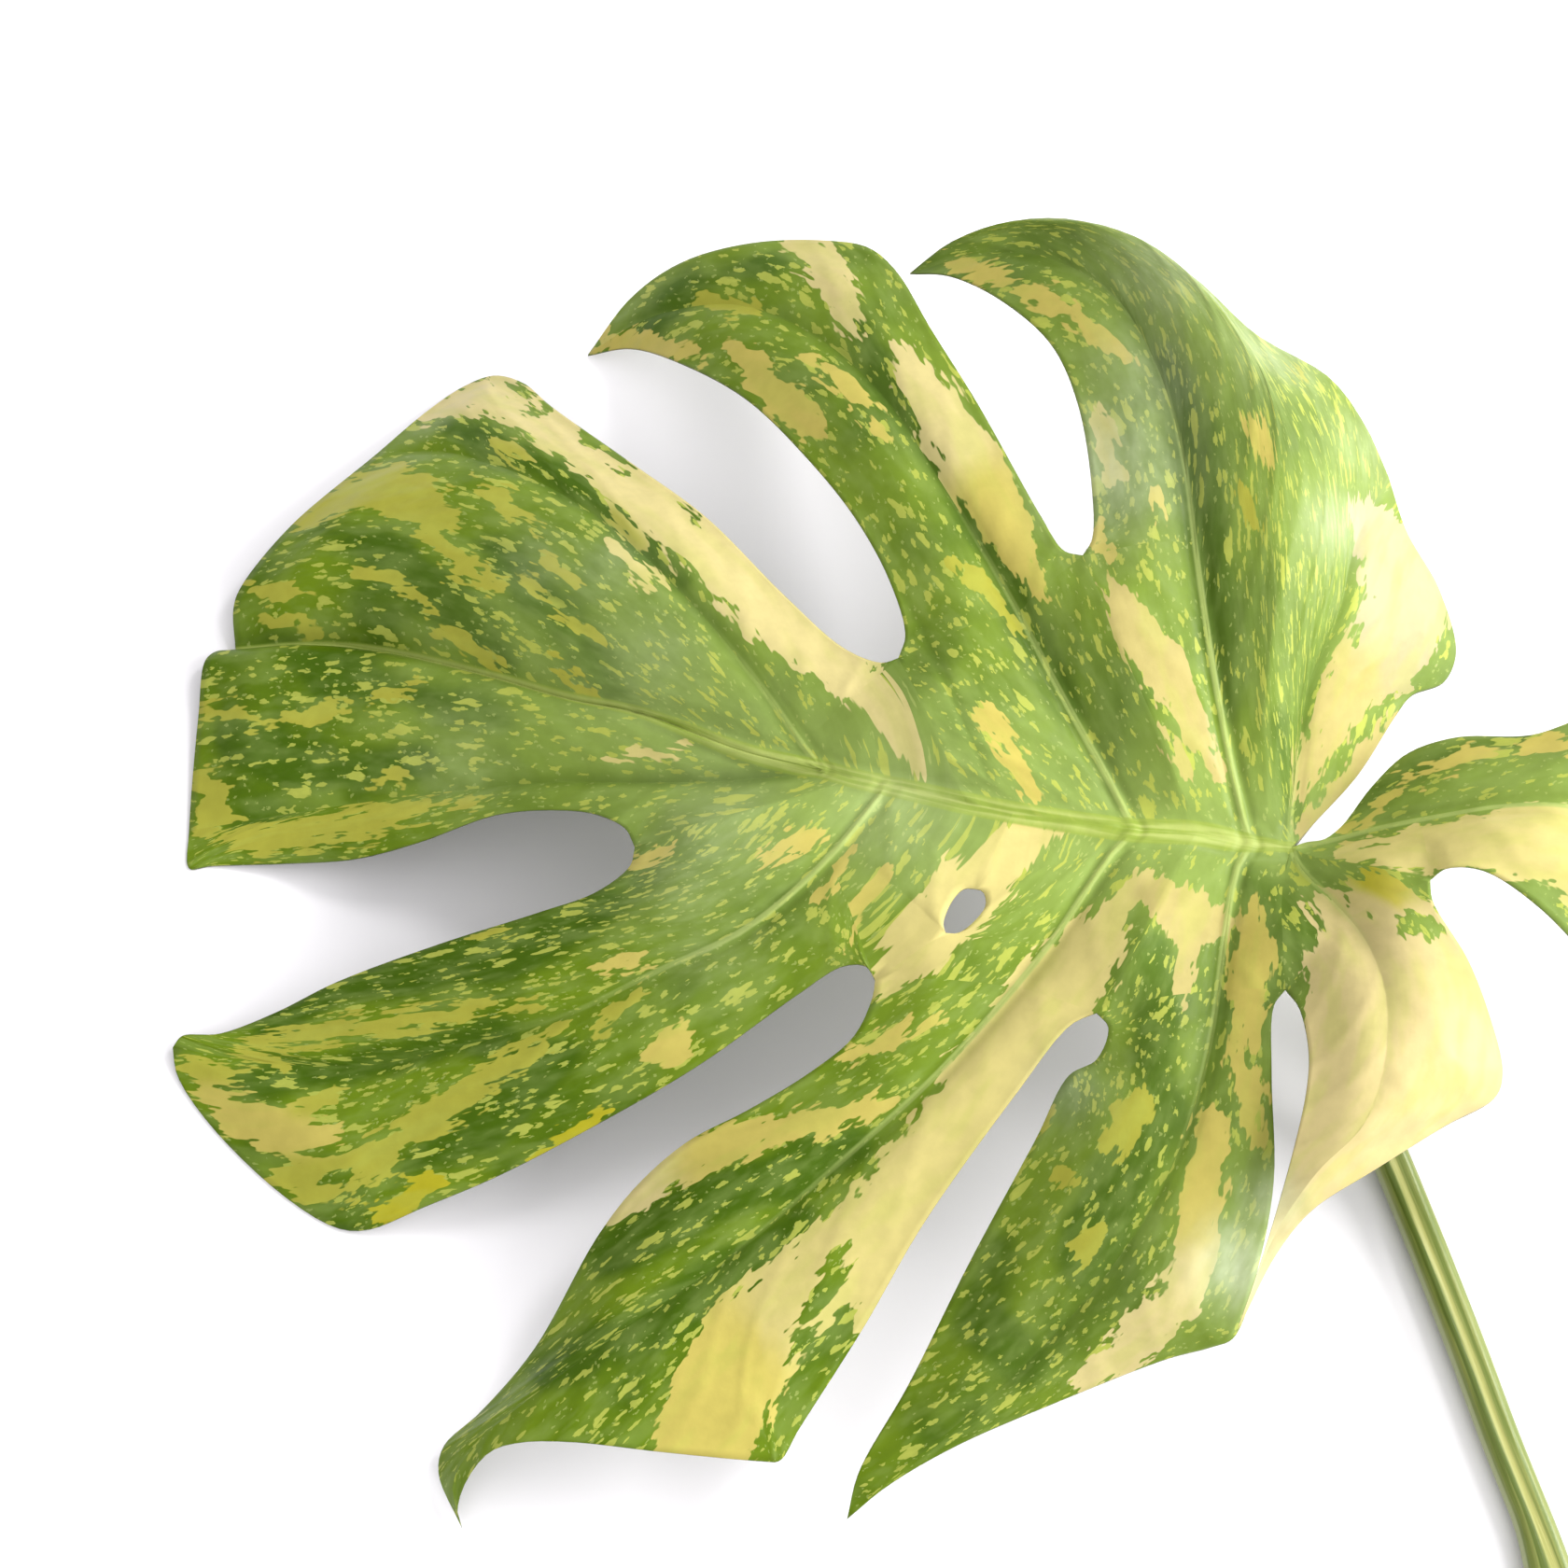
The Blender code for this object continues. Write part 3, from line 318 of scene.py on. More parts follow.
# Where the green gives way: the streaks of each tint and lobe, each with u, v and its half
# width at one point after another.
STREAKS = {
    ("sand", "near5"): [(126, -78, 9, 138, -72, 10, 148, -66, 10, 156, -56, 9),
        (117, -29, 6, 125, -42, 16, 132, -56, 20, 122, -76, 16, 110, -90, 10, 100, -110, 8),
        (122, -24, 2.8, 132, -29, 6.8, 144, -43, 12, 152, -60, 12)],
    ("cream", "rest"): [
        (-77, 79.5, 1.6, -70, 81, 3.5, -62, 83, 5, -53, 78.4, 5.6, -44, 74, 6, -32, 65, 6.8,
            -21, 55, 7.2, -10, 44, 7.2, 1, 34, 6.8, 12, 25, 6, 21, 17, 5, 28, 7, 2.6, 30, 2, 0.6),
        (-38, -94, 1.2, -30, -86, 4.4, -24, -79, 5),
        (3, 116, 3.6, 9, 110.5, 4.6, 12.5, 103, 3.4, 15.5, 95, 1),
        (24, 93, 1.6, 28, 87, 4, 33, 79, 6.4, 40, 69, 7),
        (88, -102, 4.6, 84, -111, 5, 74, -121, 4.6, 64, -128, 2.6)],
    ("pale", "rest"): [(-37, 50.5, 1.6, -31, 46, 1.8, -25, 40.5, 1.4),
        (-38, 4.5, 0.6, -32, 6.5, 1.4, -21.5, 7.5, 0.8),
        (58, -10.5, 2.8, 48, -15, 5.5, 40, -23, 7.4, 33, -31, 7.2, 26, -38, 6, 19.5, -44, 2.6),
        (77, -20, 1.6, 71, -28, 4.4, 64, -38, 7.5, 55.5, -48, 9.5, 46.5, -62, 10, 37, -76, 10,
            26, -91, 10.5, 12.5, -106, 11.5, -3, -117, 11),
        (67.5, 79, 1.6, 69, 72, 2.6, 71, 65.5, 1.4)],
    ("butter", "rest"): [(-7, -120, 11.5, -12, -131, 12, -16, -143, 12),
        (-22, -80, 5, -8, -76, 4.2, 8, -73, 3, 24, -68, 1.4),
        (-11, 93.5, 1.6, -5, 88, 3.6, 1, 81, 4.2, 7, 76, 2.8),
        (4, 91, 1.4, 13, 85, 1.8, 18, 79, 1.6, 21.5, 73.5, 1.2),
        (-39, 94, 2.4, -30, 94.5, 2.4, -19, 92, 1.4),
        (42, 66, 7, 47, 57, 6, 51, 48, 3.4, 54.5, 39, 1.2), (43, 14, 2, 48, 6, 2.6, 54, -4, 1.8),
        (57.5, 103, 1.8, 65.5, 97, 2.2, 73.5, 90, 1.4), (36, 112, 1.4, 47, 108, 2.4, 56.5, 103, 2),
        (100, 77, 1.4, 101, 72, 2.6, 103.5, 68, 1.6), (80, 61, 1.2, 83, 55, 1.2),
        (67.5, 54, 1.8, 69, 48.5, 1.6), (101, -27, 2.4, 100, -36, 4.2, 99, -44, 4.6, 100, -54, 3.6),
        (96, -58, 1.6, 99, -66, 3.6, 101, -76, 2), (91, -73, 3.4, 90, -86, 4.4, 88, -98, 4.8),
        (-39, -40, 1, -35, -38.5, 2, -28, -39.5, 1), (-31.5, -17, 1.8, -25, -15, 1.2),
        (-96, -76, 2.6, -106, -76, 4.8, -116, -72, 4.4, -124, -66, 2),
        (-30, -59, 1.6, -25, -57, 4, -21, -53, 2), (-5, -17.5, 1, 1, -14, 1.6, 8, -10, 1),
        (7, -25, 1, 11, -20, 1.4, 15, -15, 0.8), (12, -35, 0.8, 17, -27, 1.2, 22.5, -19.5, 1.2),
        (12, -60, 1, 20, -56, 2.2, 32, -51, 1)],
    ("straw", "rest"): [(77, -24, 3.4, 84, -27, 5.4, 92, -30, 4, 96, -30, 1.8),
        (86, -32, 4.6, 85.5, -40, 3, 84, -46, 1.2),
        (70, 42, 1.4, 74, 33, 5, 80, 25, 5.6, 86, 16, 4, 91, 5, 2.2, 93, 1, 0.6),
        (81.5, 10.5, 1.2, 86, 2.5, 1.4), (124, 24, 7, 118, 14, 5, 113, 5, 3, 110, -3, 1.2),
        (134, 16, 1.6, 126, 7, 2.4, 118, -2, 2.4, 111, -10.5, 1.6)],
    ("lime", "rest"): [(-16.5, 104, 1.8, -12, 102, 3, -6.5, 101.5, 1.2),
        (37.5, 47, 1.6, 50, 33.5, 1.6), (98, 61, 1, 100.5, 54, 1), (109.5, 89.5, 1, 111, 86, 1),
        (58, -84.5, 2, 61, -84.5, 2), (64, -100.5, 2.8, 66.5, -97.5, 2.4),
        (48, -78, 2.2, 56, -72, 1.6), (76, -70, 4, 70, -78, 3),
        (-104, 57, 2, -95, 60, 4, -87, 63, 5.4, -79, 60, 6, -73, 54, 3.4),
        (-66, 64.5, 1.4, -59, 59, 2.6, -53, 53.5, 1.4),
        (-76, 50, 1.2, -68, 45.5, 2.8, -61.5, 41.5, 1.8), (-51, 47, 1.2, -44, 41.5, 1.2),
        (-36, 57.5, 1.2, -31, 51.5, 1.2), (-55.5, 43.5, 1.2, -40, 29, 1.2),
        (-50, 27.5, 1, -41, 18.5, 1), (-74.5, 34.5, 1.4, -61.5, 24.5, 1.4),
        (-91, 45, 1, -84, 42, 1.8, -77, 38.5, 1.2), (-113, 41.5, 1.4, -101, 40, 1.2),
        (-110.5, 35, 1.6, -100, 31.5, 1.4), (-61.5, 72, 1.2, -55.5, 69.5, 1.2),
        (-106, 13, 1, -100, 14.5, 2.2, -93.5, 16.5, 1), (-89, 16, 1, -77.5, 20, 1.2),
        (-124, 16, 1.8, -109.5, 11.5, 1.4), (-125.5, 2, 2.4, -121, -3, 3, -124, -9, 3.2),
        (-119.5, -11.5, 1.6, -112, -12, 3.2, -101, -11, 4, -90, -8.5, 3.6, -80, -5.5, 2.2,
            -68, -4, 1.2), (-87.5, -1, 1.4, -77.5, 3, 1.2),
        (-113, -55, 1.2, -104, -54.5, 2.8, -92, -53, 2.4, -76, -51, 2.2, -62, -48, 1.4),
        (-60.5, -48, 1.4, -53, -48, 1.4), (-116.5, -58, 1.6, -108, -59.5, 1.6),
        (-67, -32.5, 1.2, -59, -31, 1.2), (-103.5, -71, 1.8, -95, -67, 1.8),
        (-46, -52, 0.8, -57, -59, 2.6, -65, -65, 3.4, -74, -72, 4, -84, -77, 2.4),
        (-80, -76, 2, -88, -82, 4.4, -98, -86, 4.6, -106, -84, 4),
        (-131, -60, 1, -124, -62, 2.6, -117, -62, 1.6),
        (-41.5, -55, 1.2, -36, -50, 1.8, -31, -45, 1)],
    ("ivory", "rest"): [(124, 58, 3.2, 130, 50, 7.6, 134, 38, 9.6, 130, 28, 9)],
    ("gold", "near5"): [(124, -22, 3.4, 131, -26, 5, 134, -30, 3)],
    ("pale", "near6"): [
        (120, -15.5, 1.6, 132, -15, 4.4, 144, -13, 5, 156, -13, 7.6, 168, -13, 9.6, 184, -24, 14,
            190, -44, 10)],
    ("butter", "near6"): [(120, -10, 1, 132, -0.5, 1.4, 144, 5, 1.6, 160, 8, 1.8, 176, 8, 1.8)],
    ("gold", "rest"): [(-86, -92, 2.6, -78, -87, 2.4, -74, -84, 1.2),
        (-54, -80, 1.2, -46, -75, 2, -39, -71, 1.2)],
}

# Green islets inside the pale patches, in the same way.
GREEN_ISLES = {
    "rest": [(-57, 84, 1.4, -52, 79.5, 1.2), (-42, 76, 1.6, -36, 71, 1.8, -33, 68, 1),
        (-23, 61, 1, -19, 57, 1), (-94, -78, 1, -89, -75, 2.2, -84, -72, 2),
        (-97, -86, 1, -92, -84, 1.4), (-100, -14, 0.8, -95, -12, 1),
        (13, -100, 1.4, 10, -106, 2.4, 6, -114, 2.6, 3, -124, 2.4),
        (13, -116, 3.4, 7, -127, 4.8, 0, -138, 4.2, -4, -144, 3.2), (144, 20, 4.4, 138, 22, 3.6)],
    "near5": [(99, -21, 3.6, 101, -29, 3.2), (106, -24, 3.6, 112, -32, 2.8),
        (117, -17.5, 3.6, 121, -18, 3.2), (134, -30, 2.8, 139.5, -31, 2.4)],
}

# Where the green is deepest, in the same way.
DEEP_BANDS = [
    (-100, 54.5, 3, -87, 49.5, 3.4, -75, 40.5, 3.4, -67.5, 34, 3, -60, 25, 2.4),
    (-62.5, 49.5, 2.4, -54.5, 40.5, 3, -44.5, 30, 3, -36.5, 20, 2.2),
    (-71.5, 75, 1.8, -48, 66, 2.2, -34, 56, 2.2, -22.5, 44, 1.8),
    (-98, 21, 2.4, -86, 19, 3.2, -72, 16, 3.2, -60, 13, 2.4),
    (-117, 8, 3, -104, 3, 4, -93, 2, 4.4, -78, 4.5, 3),
    (-110, -52, 2.4, -97, -44.5, 4.4, -74, -38, 4.8, -53.5, -35.5, 4.8, -39, -26.5, 3),
    (-122, -64, 2.4, -112, -64, 3.4, -97, -62, 4, -78, -57.5, 4, -62, -53.5, 2.4),
    (-46, -58, 2, -53.5, -62, 4, -64, -74, 4, -80.5, -83, 2.6),
    (-37.5, -102.5, 4, -18, -89.5, 5, 2.5, -83, 5, 15.5, -77, 3),
    (-52, -126, 3.4, -41, -121, 5, -28.5, -116, 5, -8, -104, 5, 4, -94, 3),
    (-30, 98, 2.6, -17.5, 107, 3.6, -2, 112, 2.6),
    (16, 97, 2, 24, 84, 2.6, 33, 68.5, 2.6, 47, 48, 2.4, 55, 32, 2),
    (81.5, 90.5, 2.6, 88, 72.5, 4.4, 90.5, 54.5, 4.6, 93, 34, 4, 95.5, 14.5, 2),
    (48, 38, 2, 52, 31, 3.2, 61, 15.5, 2.6),
    (77.5, -58, 4, 80, -71, 6, 70, -87, 6.4, 63.5, -102, 5),
    (46.5, -100, 4, 41.5, -115, 5, 52, -125, 4), (20, -46, 2, 8, -52, 4, -4, -60, 3),
    (79, -36, 2.4, 81, -48, 4.4, 78, -60, 5), (99, -20, 2.4, 106, -26, 4, 112, -32, 4),
    (106, 12, 1.8, 107.5, 2, 2.6, 109, -8, 1.8),
    (118, -8, 1.6, 127, -2, 2.6, 142, 6, 2.6, 160, 10, 2),
]
DEEP_SOFTNESS = 5.0

TINTS = {
    "cream": (0.74, 0.63, 0.27), "butter": (0.63, 0.53, 0.12), "lime": (0.46, 0.45, 0.055),
    "pale": (0.71, 0.61, 0.22), "ivory": (0.54, 0.47, 0.25), "gold": (0.52, 0.47, 0.020),
    "sand": (0.68, 0.56, 0.25), "straw": (0.56, 0.47, 0.165),
}
TINT_SOFTNESS = 1.2
DEEPEST_MARK = 25.0
# Painted sheen: the green made paler towards the right, where the light comes from, and along the
# midrib, fading towards its tip.
PAINTED_SHEEN_FROM = -20.0
PAINTED_SHEEN_SPAN = 260.0
PAINTED_SHEEN_SLANT = 0.25
PAINTED_SHEEN_REACH = 26.0
PAINTED_SHEEN_END = 0.9
PAINTED_SHEEN_END_SLOPE = 3.0
FAR_FROM_RIB = 30.0

# Painted reflections: where the light's sheen shows whitish on the blade, painted into its colour:
# (u, v, radius, share).
PAINTED_REFLECTION_SPOTS = [
    (70, 68, 14, 0.55), (77, 86, 12, 0.35), (118, 55, 7, 0.45), (125, 72, 9, 0.30),
    (106, 96, 12, 0.45), (84, 112, 14, 0.45), (97, -103, 9, 0.85), (104, -90, 7, 0.60),
    (61, -66, 8, 0.28), (24, -8, 13, 0.20), (-14, -12, 14, 0.22), (-22, -22, 12, 0.20),
    (-16, -36, 12, 0.14), (-52, 47, 8, 0.16), (-38, 46, 9, 0.20), (-28, 28, 12, 0.14),
    (-70, 4, 10, 0.14),
]


def place(points):
    """Board points (u, v, z) to (x, y, z): the line from the eye through (u, v), cut at z."""
    points = np.asarray(points, float)
    sine = math.sin(EYE_ELEVATION)
    cosine = math.cos(EYE_ELEVATION)
    start = np.array([0.0, -EYE_DISTANCE * cosine, BOARD_HEIGHT + EYE_DISTANCE * sine])
    u, v, z = np.moveaxis(points, -1, 0)
    board = np.stack([u, v * sine, BOARD_HEIGHT + v * cosine], -1)
    reach = (start[2] - z) / (start[2] - board[..., 2])
    placed = start + (board - start) * reach[..., None]
    placed[..., 0] += ORIGIN_SHIFT[0]
    placed[..., 1] += ORIGIN_SHIFT[1]
    return placed


def read_curve(points, fractions):
    """The smooth curve through the points, read at fractions of its length.

    Between neighbours it is a cubic whose end slopes are the three-point slopes."""
    points = np.asarray(points, float).reshape(-1, 3)
    steps = np.sqrt(np.linalg.norm(np.diff(points, axis=0), axis=1))
    knots = np.concatenate([[0.0], np.cumsum(steps)])
    slopes = np.gradient(points, knots, axis=0)
    fine = np.linspace(0.0, knots[-1], CURVE_FINENESS * len(points))
    index = np.clip(np.searchsorted(knots, fine, side="right") - 1, 0, len(points) - 2)
    width = (knots[index + 1] - knots[index])[:, None]
    x = (fine - knots[index])[:, None] / width
    curve = ((1 + 2 * x) * (1 - x) ** 2 * points[index] + x * (1 - x) ** 2 * width * slopes[index]
             + x ** 2 * (3 - 2 * x) * points[index + 1]
             + x ** 2 * (x - 1) * width * slopes[index + 1])
    length = np.concatenate([[0.0], np.cumsum(np.linalg.norm(np.diff(curve, axis=0), axis=1))])
    wanted = np.asarray(fractions) * length[-1]
    return np.stack([np.interp(wanted, length, curve[:, axis]) for axis in range(3)], -1)


def travelled(points):
    """The length of the chain of points up to each of them."""
    steps = np.linalg.norm(np.diff(points, axis=0), axis=1)
    return np.concatenate([[0.0], np.cumsum(steps)])


def unit(value):
    """The value, held between 0 and 1."""
    return np.clip(value, 0.0, 1.0)


def length_shares(points):
    """How far along the chain of points each point lies, from 0 to 1."""
    length = travelled(points)
    if length[-1] == 0.0:
        return np.linspace(0.0, 1.0, len(points))
    return length / length[-1]


def midrib_stretch(first, last):
    """The midrib from one of its points to another, in that stretch's own number of steps."""
    low = min(first, last)
    high = max(first, last)
    chain = [np.asarray([MIDRIB[low]], float)]
    for k in range(low, high):
        steps = np.linspace(0.0, 1.0, MIDRIB_STEPS[k] + 1)[1:, None]
        chain.append(np.asarray(MIDRIB[k]) * (1 - steps) + np.asarray(MIDRIB[k + 1]) * steps)
    chain = np.concatenate(chain)
    return chain if first <= last else chain[::-1]


def vein_rows(vein):
    """A side rib at the rows of its lobe: base rows that widen from the midrib up to the bridge,
    then the free rows."""
    bridge = BRIDGE[vein]
    base = bridge * np.linspace(0.0, 1.0, BASE_ROWS + 1) ** BASE_GRADING
    free = np.linspace(bridge, 1.0, LOBE_ROWS + 1)[1:]
    return read_curve(VEINS[vein], np.concatenate([base, free]))


def edge_rows(points, count):
    """A free edge in count steps, which crowd together where it turns a corner."""
    fine = read_curve(points, np.linspace(0.0, 1.0, EDGE_FINENESS))
    step = np.diff(fine, axis=0)
    length = np.linalg.norm(step, axis=1)
    heading = step / length[:, None]
    bend = np.arccos(np.clip((heading[1:] * heading[:-1]).sum(axis=1), -1.0, 1.0))
    weight = np.concatenate([[0.0], np.cumsum(length + CORNER_WEIGHT * np.append(bend, 0.0))])
    wanted = np.linspace(0.0, weight[-1], count + 1)
    return np.stack([np.interp(wanted, weight, fine[:, axis]) for axis in range(3)], -1)


def web_rows(webs):
    """A web from the midrib to the slit's end, in the base rows."""
    chains = []
    for web in webs:
        steps = np.linspace(0.0, 1.0, WEB_ROWS.get(web, BASE_ROWS) + 1)
        chains.append(read_curve(WEBS[web], steps if web in WEB_ROWS else steps ** BASE_GRADING))
    return np.concatenate([chains[0]] + [chain[1:] for chain in chains[1:]])


def blend_patch(left, right, foot, head, columns):
    """A grid of points between four sides: the two side curves blended across, and the foot and
    head curves blended along, less the straight blend of the four corners (a Coons patch).

    The columns stand at the foot's own points on the first row and at the head's own points on
    the last, and move over to the given columns in between."""
    t = length_shares(0.5 * (left + right))[:, None]
    foot_shares = length_shares(foot)
    head_shares = length_shares(head)
    from_foot = unit(t / CORNER_HOLD)
    from_head = unit((1 - t) / CORNER_HOLD)
    s = (columns * from_foot * from_head + foot_shares * (1 - from_foot)
         + head_shares * (1 - from_head))
    foot_at = np.stack([np.interp(s, foot_shares, foot[:, axis]) for axis in range(3)], -1)
    head_at = np.stack([np.interp(s, head_shares, head[:, axis]) for axis in range(3)], -1)
    s = s[..., None]
    t = t[..., None]
    sides = (1 - s) * left[:, None, :] + s * right[:, None, :]
    ends = (1 - t) * foot_at + t * head_at
    corners = ((1 - s) * (1 - t) * foot[0] + s * (1 - t) * foot[-1]
               + (1 - s) * t * head[0] + s * t * head[-1])
    return sides + ends - corners


def rib_columns(count):
    """Column shares that crowd towards the rib at 0."""
    return np.linspace(0.0, 1.0, count) ** COLUMN_GRADING


def grain(grid, rib, lengths):
    """Where each point of a patch lies in the leaf's grain, in millimetres: its distance out
    from the patch's rib, and the length of that rib up to its row."""
    across = np.linalg.norm(grid - rib[:, None, :], axis=2)
    along = np.broadcast_to(lengths[:, None], across.shape)
    return np.stack([across, along], -1)


def half_lobe(vein, root, web_root, webs, margin):
    """One half of a lobe in two patches: the base, between the side rib and the web, and the
    free part, between the side rib and the free edge, which meet at the lobe's tip."""
    rib = vein_rows(vein)
    lengths = travelled(rib)
    web = web_rows(webs)
    foot = midrib_stretch(root, web_root)
    if len(foot) == 1:
        foot = np.repeat(foot, FAN_COLUMNS + 1, axis=0)
    columns = rib_columns(len(foot))
    bridge = rib[BASE_ROWS] + (web[-1] - rib[BASE_ROWS]) * columns[:, None]
    base = blend_patch(rib[:BASE_ROWS + 1], web, foot, bridge, columns)
    tip = np.repeat(rib[-1:], len(foot), axis=0)
    edge = edge_rows(MARGINS[margin], LOBE_ROWS)
    free = blend_patch(rib[BASE_ROWS:], edge, bridge, tip, columns)
    return [(vein, base, grain(base, rib[:BASE_ROWS + 1], lengths[:BASE_ROWS + 1])),
            (vein, free, grain(free, rib[BASE_ROWS:], lengths[BASE_ROWS:]))]


def fan_half(vein, margin):
    """A half lobe without a web: its side rib and its free edge both start at the seat."""
    rib = vein_rows(vein)
    edge = edge_rows(MARGINS[margin], BASE_ROWS + LOBE_ROWS)
    seat = np.repeat(rib[:1], FAN_COLUMNS + 1, axis=0)
    tip = np.repeat(rib[-1:], FAN_COLUMNS + 1, axis=0)
    grid = blend_patch(rib, edge, seat, tip, rib_columns(FAN_COLUMNS + 1))
    return [(vein, grid, grain(grid, rib, travelled(rib)))]


def sector(vein, left, right, foot, margin):
    """The part between two ribs that no slit divides, out to the free edge across its end."""
    head = edge_rows(MARGINS[margin], len(foot) - 1)
    columns = 0.5 - 0.5 * np.cos(math.pi * np.linspace(0.0, 1.0, len(foot)))
    grid = blend_patch(left, right, foot, head, columns)
    from_left = grain(grid, left, travelled(left))
    from_right = grain(grid, right, travelled(right))
    share = np.linspace(0.0, 1.0, len(foot))[None, :]
    along = from_left[..., 1] * (1 - share) + from_right[..., 1] * share
    return [(vein, grid, np.stack([from_left[..., 0], along], -1))]


def blade_patches():
    """All the patches: each half of each lobe, the two outer fans and the undivided sectors."""
    patches = []
    for half in HALF_LOBES:
        patches += half_lobe(*half)
    patches += fan_half("far4", "far4_right")
    patches += fan_half("near6", "near6_upper")
    base = np.linspace(0.0, 1.0, BASE_ROWS + LOBE_ROWS + 1)
    tip_rib = read_curve(TIP_RIB, base)
    root = np.repeat(tip_rib[:1], FAN_COLUMNS + 1, axis=0)
    patches += sector("far1", vein_rows("far1"), tip_rib, root, "far1_end")
    patches += sector("near1", vein_rows("near1"), tip_rib, root, "near1_end")
    far3, far4 = vein_rows("far3"), vein_rows("far4")
    patches += sector("far4", far3, far4, midrib_stretch(1, 0), "far34_end")
    return patches


def nearest_on(points, chain):
    """Each point's distance to a chain of points, and the share of the chain where it is."""
    shares = length_shares(chain)
    best = np.full(len(points), np.inf)
    where = np.zeros(len(points))
    for k in range(len(chain) - 1):
        along = chain[k + 1] - chain[k]
        x = unit((points - chain[k]) @ along / (along @ along))
        distance = np.linalg.norm(points - chain[k] - x[:, None] * along, axis=1)
        closer = distance < best
        best = np.where(closer, distance, best)
        where = np.where(closer, shares[k] + x * (shares[k + 1] - shares[k]), where)
    return best, where


def inside_streak(board, streak):
    """How far each board point lies inside a streak: its half width there less the distance to
    its middle line; below 0 outside."""
    line = np.asarray(streak, float).reshape(-1, 3)
    distance, share = nearest_on(board, line[:, :2])
    return np.interp(share, length_shares(line[:, :2]), line[:, 2]) - distance


def leaf_marks(board, group):
    """For the board points of each group of lobes: how deep each lies in a pale patch, in
    millimetres, less the green islets, and the tint there, softly mixed where patches meet."""
    depth = np.full(len(board), -DEEPEST_MARK)
    tint = np.zeros((len(board), 3))
    total = np.full(len(board), 1e-12)
    for (name, lobe), outlines in STREAKS.items():
        for streak in outlines:
            inside = np.where(group == lobe, inside_streak(board, streak), -DEEPEST_MARK)
            depth = np.maximum(depth, inside)
            weight = np.exp(np.clip(inside / TINT_SOFTNESS, -24.0, 12.0))
            tint += weight[:, None] * np.asarray(TINTS[name])
            total += weight
    for lobe, outlines in GREEN_ISLES.items():
        for islet in outlines:
            inside = np.where(group == lobe, inside_streak(board, islet), -DEEPEST_MARK)
            depth = np.minimum(depth, -inside)
    return depth, tint / total[:, None]


def grid_triangles(start, rows, columns):
    """Two triangles for each cell of a grid whose points are numbered row by row from start."""
    index = start + np.arange(rows * columns).reshape(rows, columns)
    a, b = index[:-1, :-1].ravel(), index[:-1, 1:].ravel()
    c, d = index[1:, 1:].ravel(), index[1:, :-1].ravel()
    return np.concatenate([np.stack([a, b, c], -1), np.stack([a, c, d], -1)])


def weld(points, corners, digits):
    """Points that agree to so many digits made one, and triangles that lose a corner dropped:
    the points kept, their old numbers, the new triangles, and which of the old ones those are."""
    _, first, welded = np.unique(np.round(points, digits), axis=0, return_index=True,
                                 return_inverse=True)
    joined = welded.reshape(-1)[corners]
    whole = ((joined[:, 0] != joined[:, 1]) & (joined[:, 1] != joined[:, 2])
             & (joined[:, 2] != joined[:, 0]))
    return points[first], first, joined[whole], whole


patches = blade_patches()
loose = np.concatenate([grid.reshape(-1, 3) for _, grid, _ in patches])
loose_grain = np.concatenate([flow.reshape(-1, 2) + (k * HALF_LOBE_SHIFT, 0.0)
                              for k, (_, _, flow) in enumerate(patches)])
loose_group = np.concatenate([np.full(grid[..., 0].size, vein if vein in ("near5", "near6")
                                      else "rest") for vein, grid, _ in patches])
triangles = []
count = 0
for _, grid, _ in patches:
    pair = grid_triangles(count, *grid.shape[:2])
    flat = loose[pair][..., :2]
    turn = np.cross(flat[:, 1] - flat[:, 0], flat[:, 2] - flat[:, 0]).sum()
    triangles.append(pair if turn > 0 else pair[:, ::-1])
    count += grid[..., 0].size
triangles = np.concatenate(triangles)
board, first, faces, whole = weld(loose, triangles, 4)
face_grain = loose_grain[triangles[whole]]
group = loose_group[first]

# The relief: the blade swells between the ribs, which lie in valleys; each rib stands up as a
# fine crest above and as a deep keel below, and both taper towards the lobes' tips.
def fall(distance, reach, power=2):
    """1 at no distance, falling off smoothly: e to the minus (distance over reach) to the power."""
    return np.exp(-(distance / reach) ** power)


top = place(board)
fractions = np.linspace(0.0, 1.0, CURVE_POINTS)
midrib_line = place(np.concatenate([read_curve(MIDRIB, fractions),
                                    read_curve(TIP_RIB, fractions)[1:]]))
to_midrib, midrib_share = nearest_on(top, midrib_line)
to_side = np.full(len(top), np.inf)
side_share = np.zeros(len(top))
rib_strength = np.zeros(len(top))
for name, vein in VEINS.items():
    distance, share = nearest_on(top, place(read_curve(vein, fractions)))
    closer = distance < to_side
    shown = unit((RIB_SHOWN[name] - share) / RIB_SHOWN_FADE)
    side_share = np.where(closer, share, side_share)
    rib_strength = np.where(closer, shown, rib_strength)
    to_side = np.minimum(to_side, distance)
to_edge = np.full(len(top), np.inf)
for edge in MARGINS.values():
    to_edge = np.minimum(to_edge, nearest_on(top, place(read_curve(edge, fractions)))[0])
fade = unit(to_edge / EDGE_FADE)
valley = (1 - fall(to_midrib, QUILT_WIDTH, 1)) * (1 - fall(to_side, QUILT_WIDTH, 1))
top[:, 2] += QUILT_HEIGHT * valley * fade * fade * (3 - 2 * fade)
normals = np.zeros_like(top)
corners = top[faces]
face_normals = np.cross(corners[:, 1] - corners[:, 0], corners[:, 2] - corners[:, 0])
for corner in range(3):
    np.add.at(normals, faces[:, corner], face_normals)
normals /= np.linalg.norm(normals, axis=1)[:, None]
midrib_taper = 1 - (1 - TIP_RIB_SHARE) * midrib_share
side_taper = 1 - (1 - TIP_RIB_SHARE) * side_share
rim_fade = unit(to_edge / RIB_EDGE_FADE)
midrib_keel = MIDRIB_DEPTH * midrib_taper * fall(to_midrib, MIDRIB_HALF_WIDTH)
side_keel = SIDE_RIB_DEPTH * side_taper * fall(to_side, SIDE_RIB_HALF_WIDTH) * rim_fade ** 2
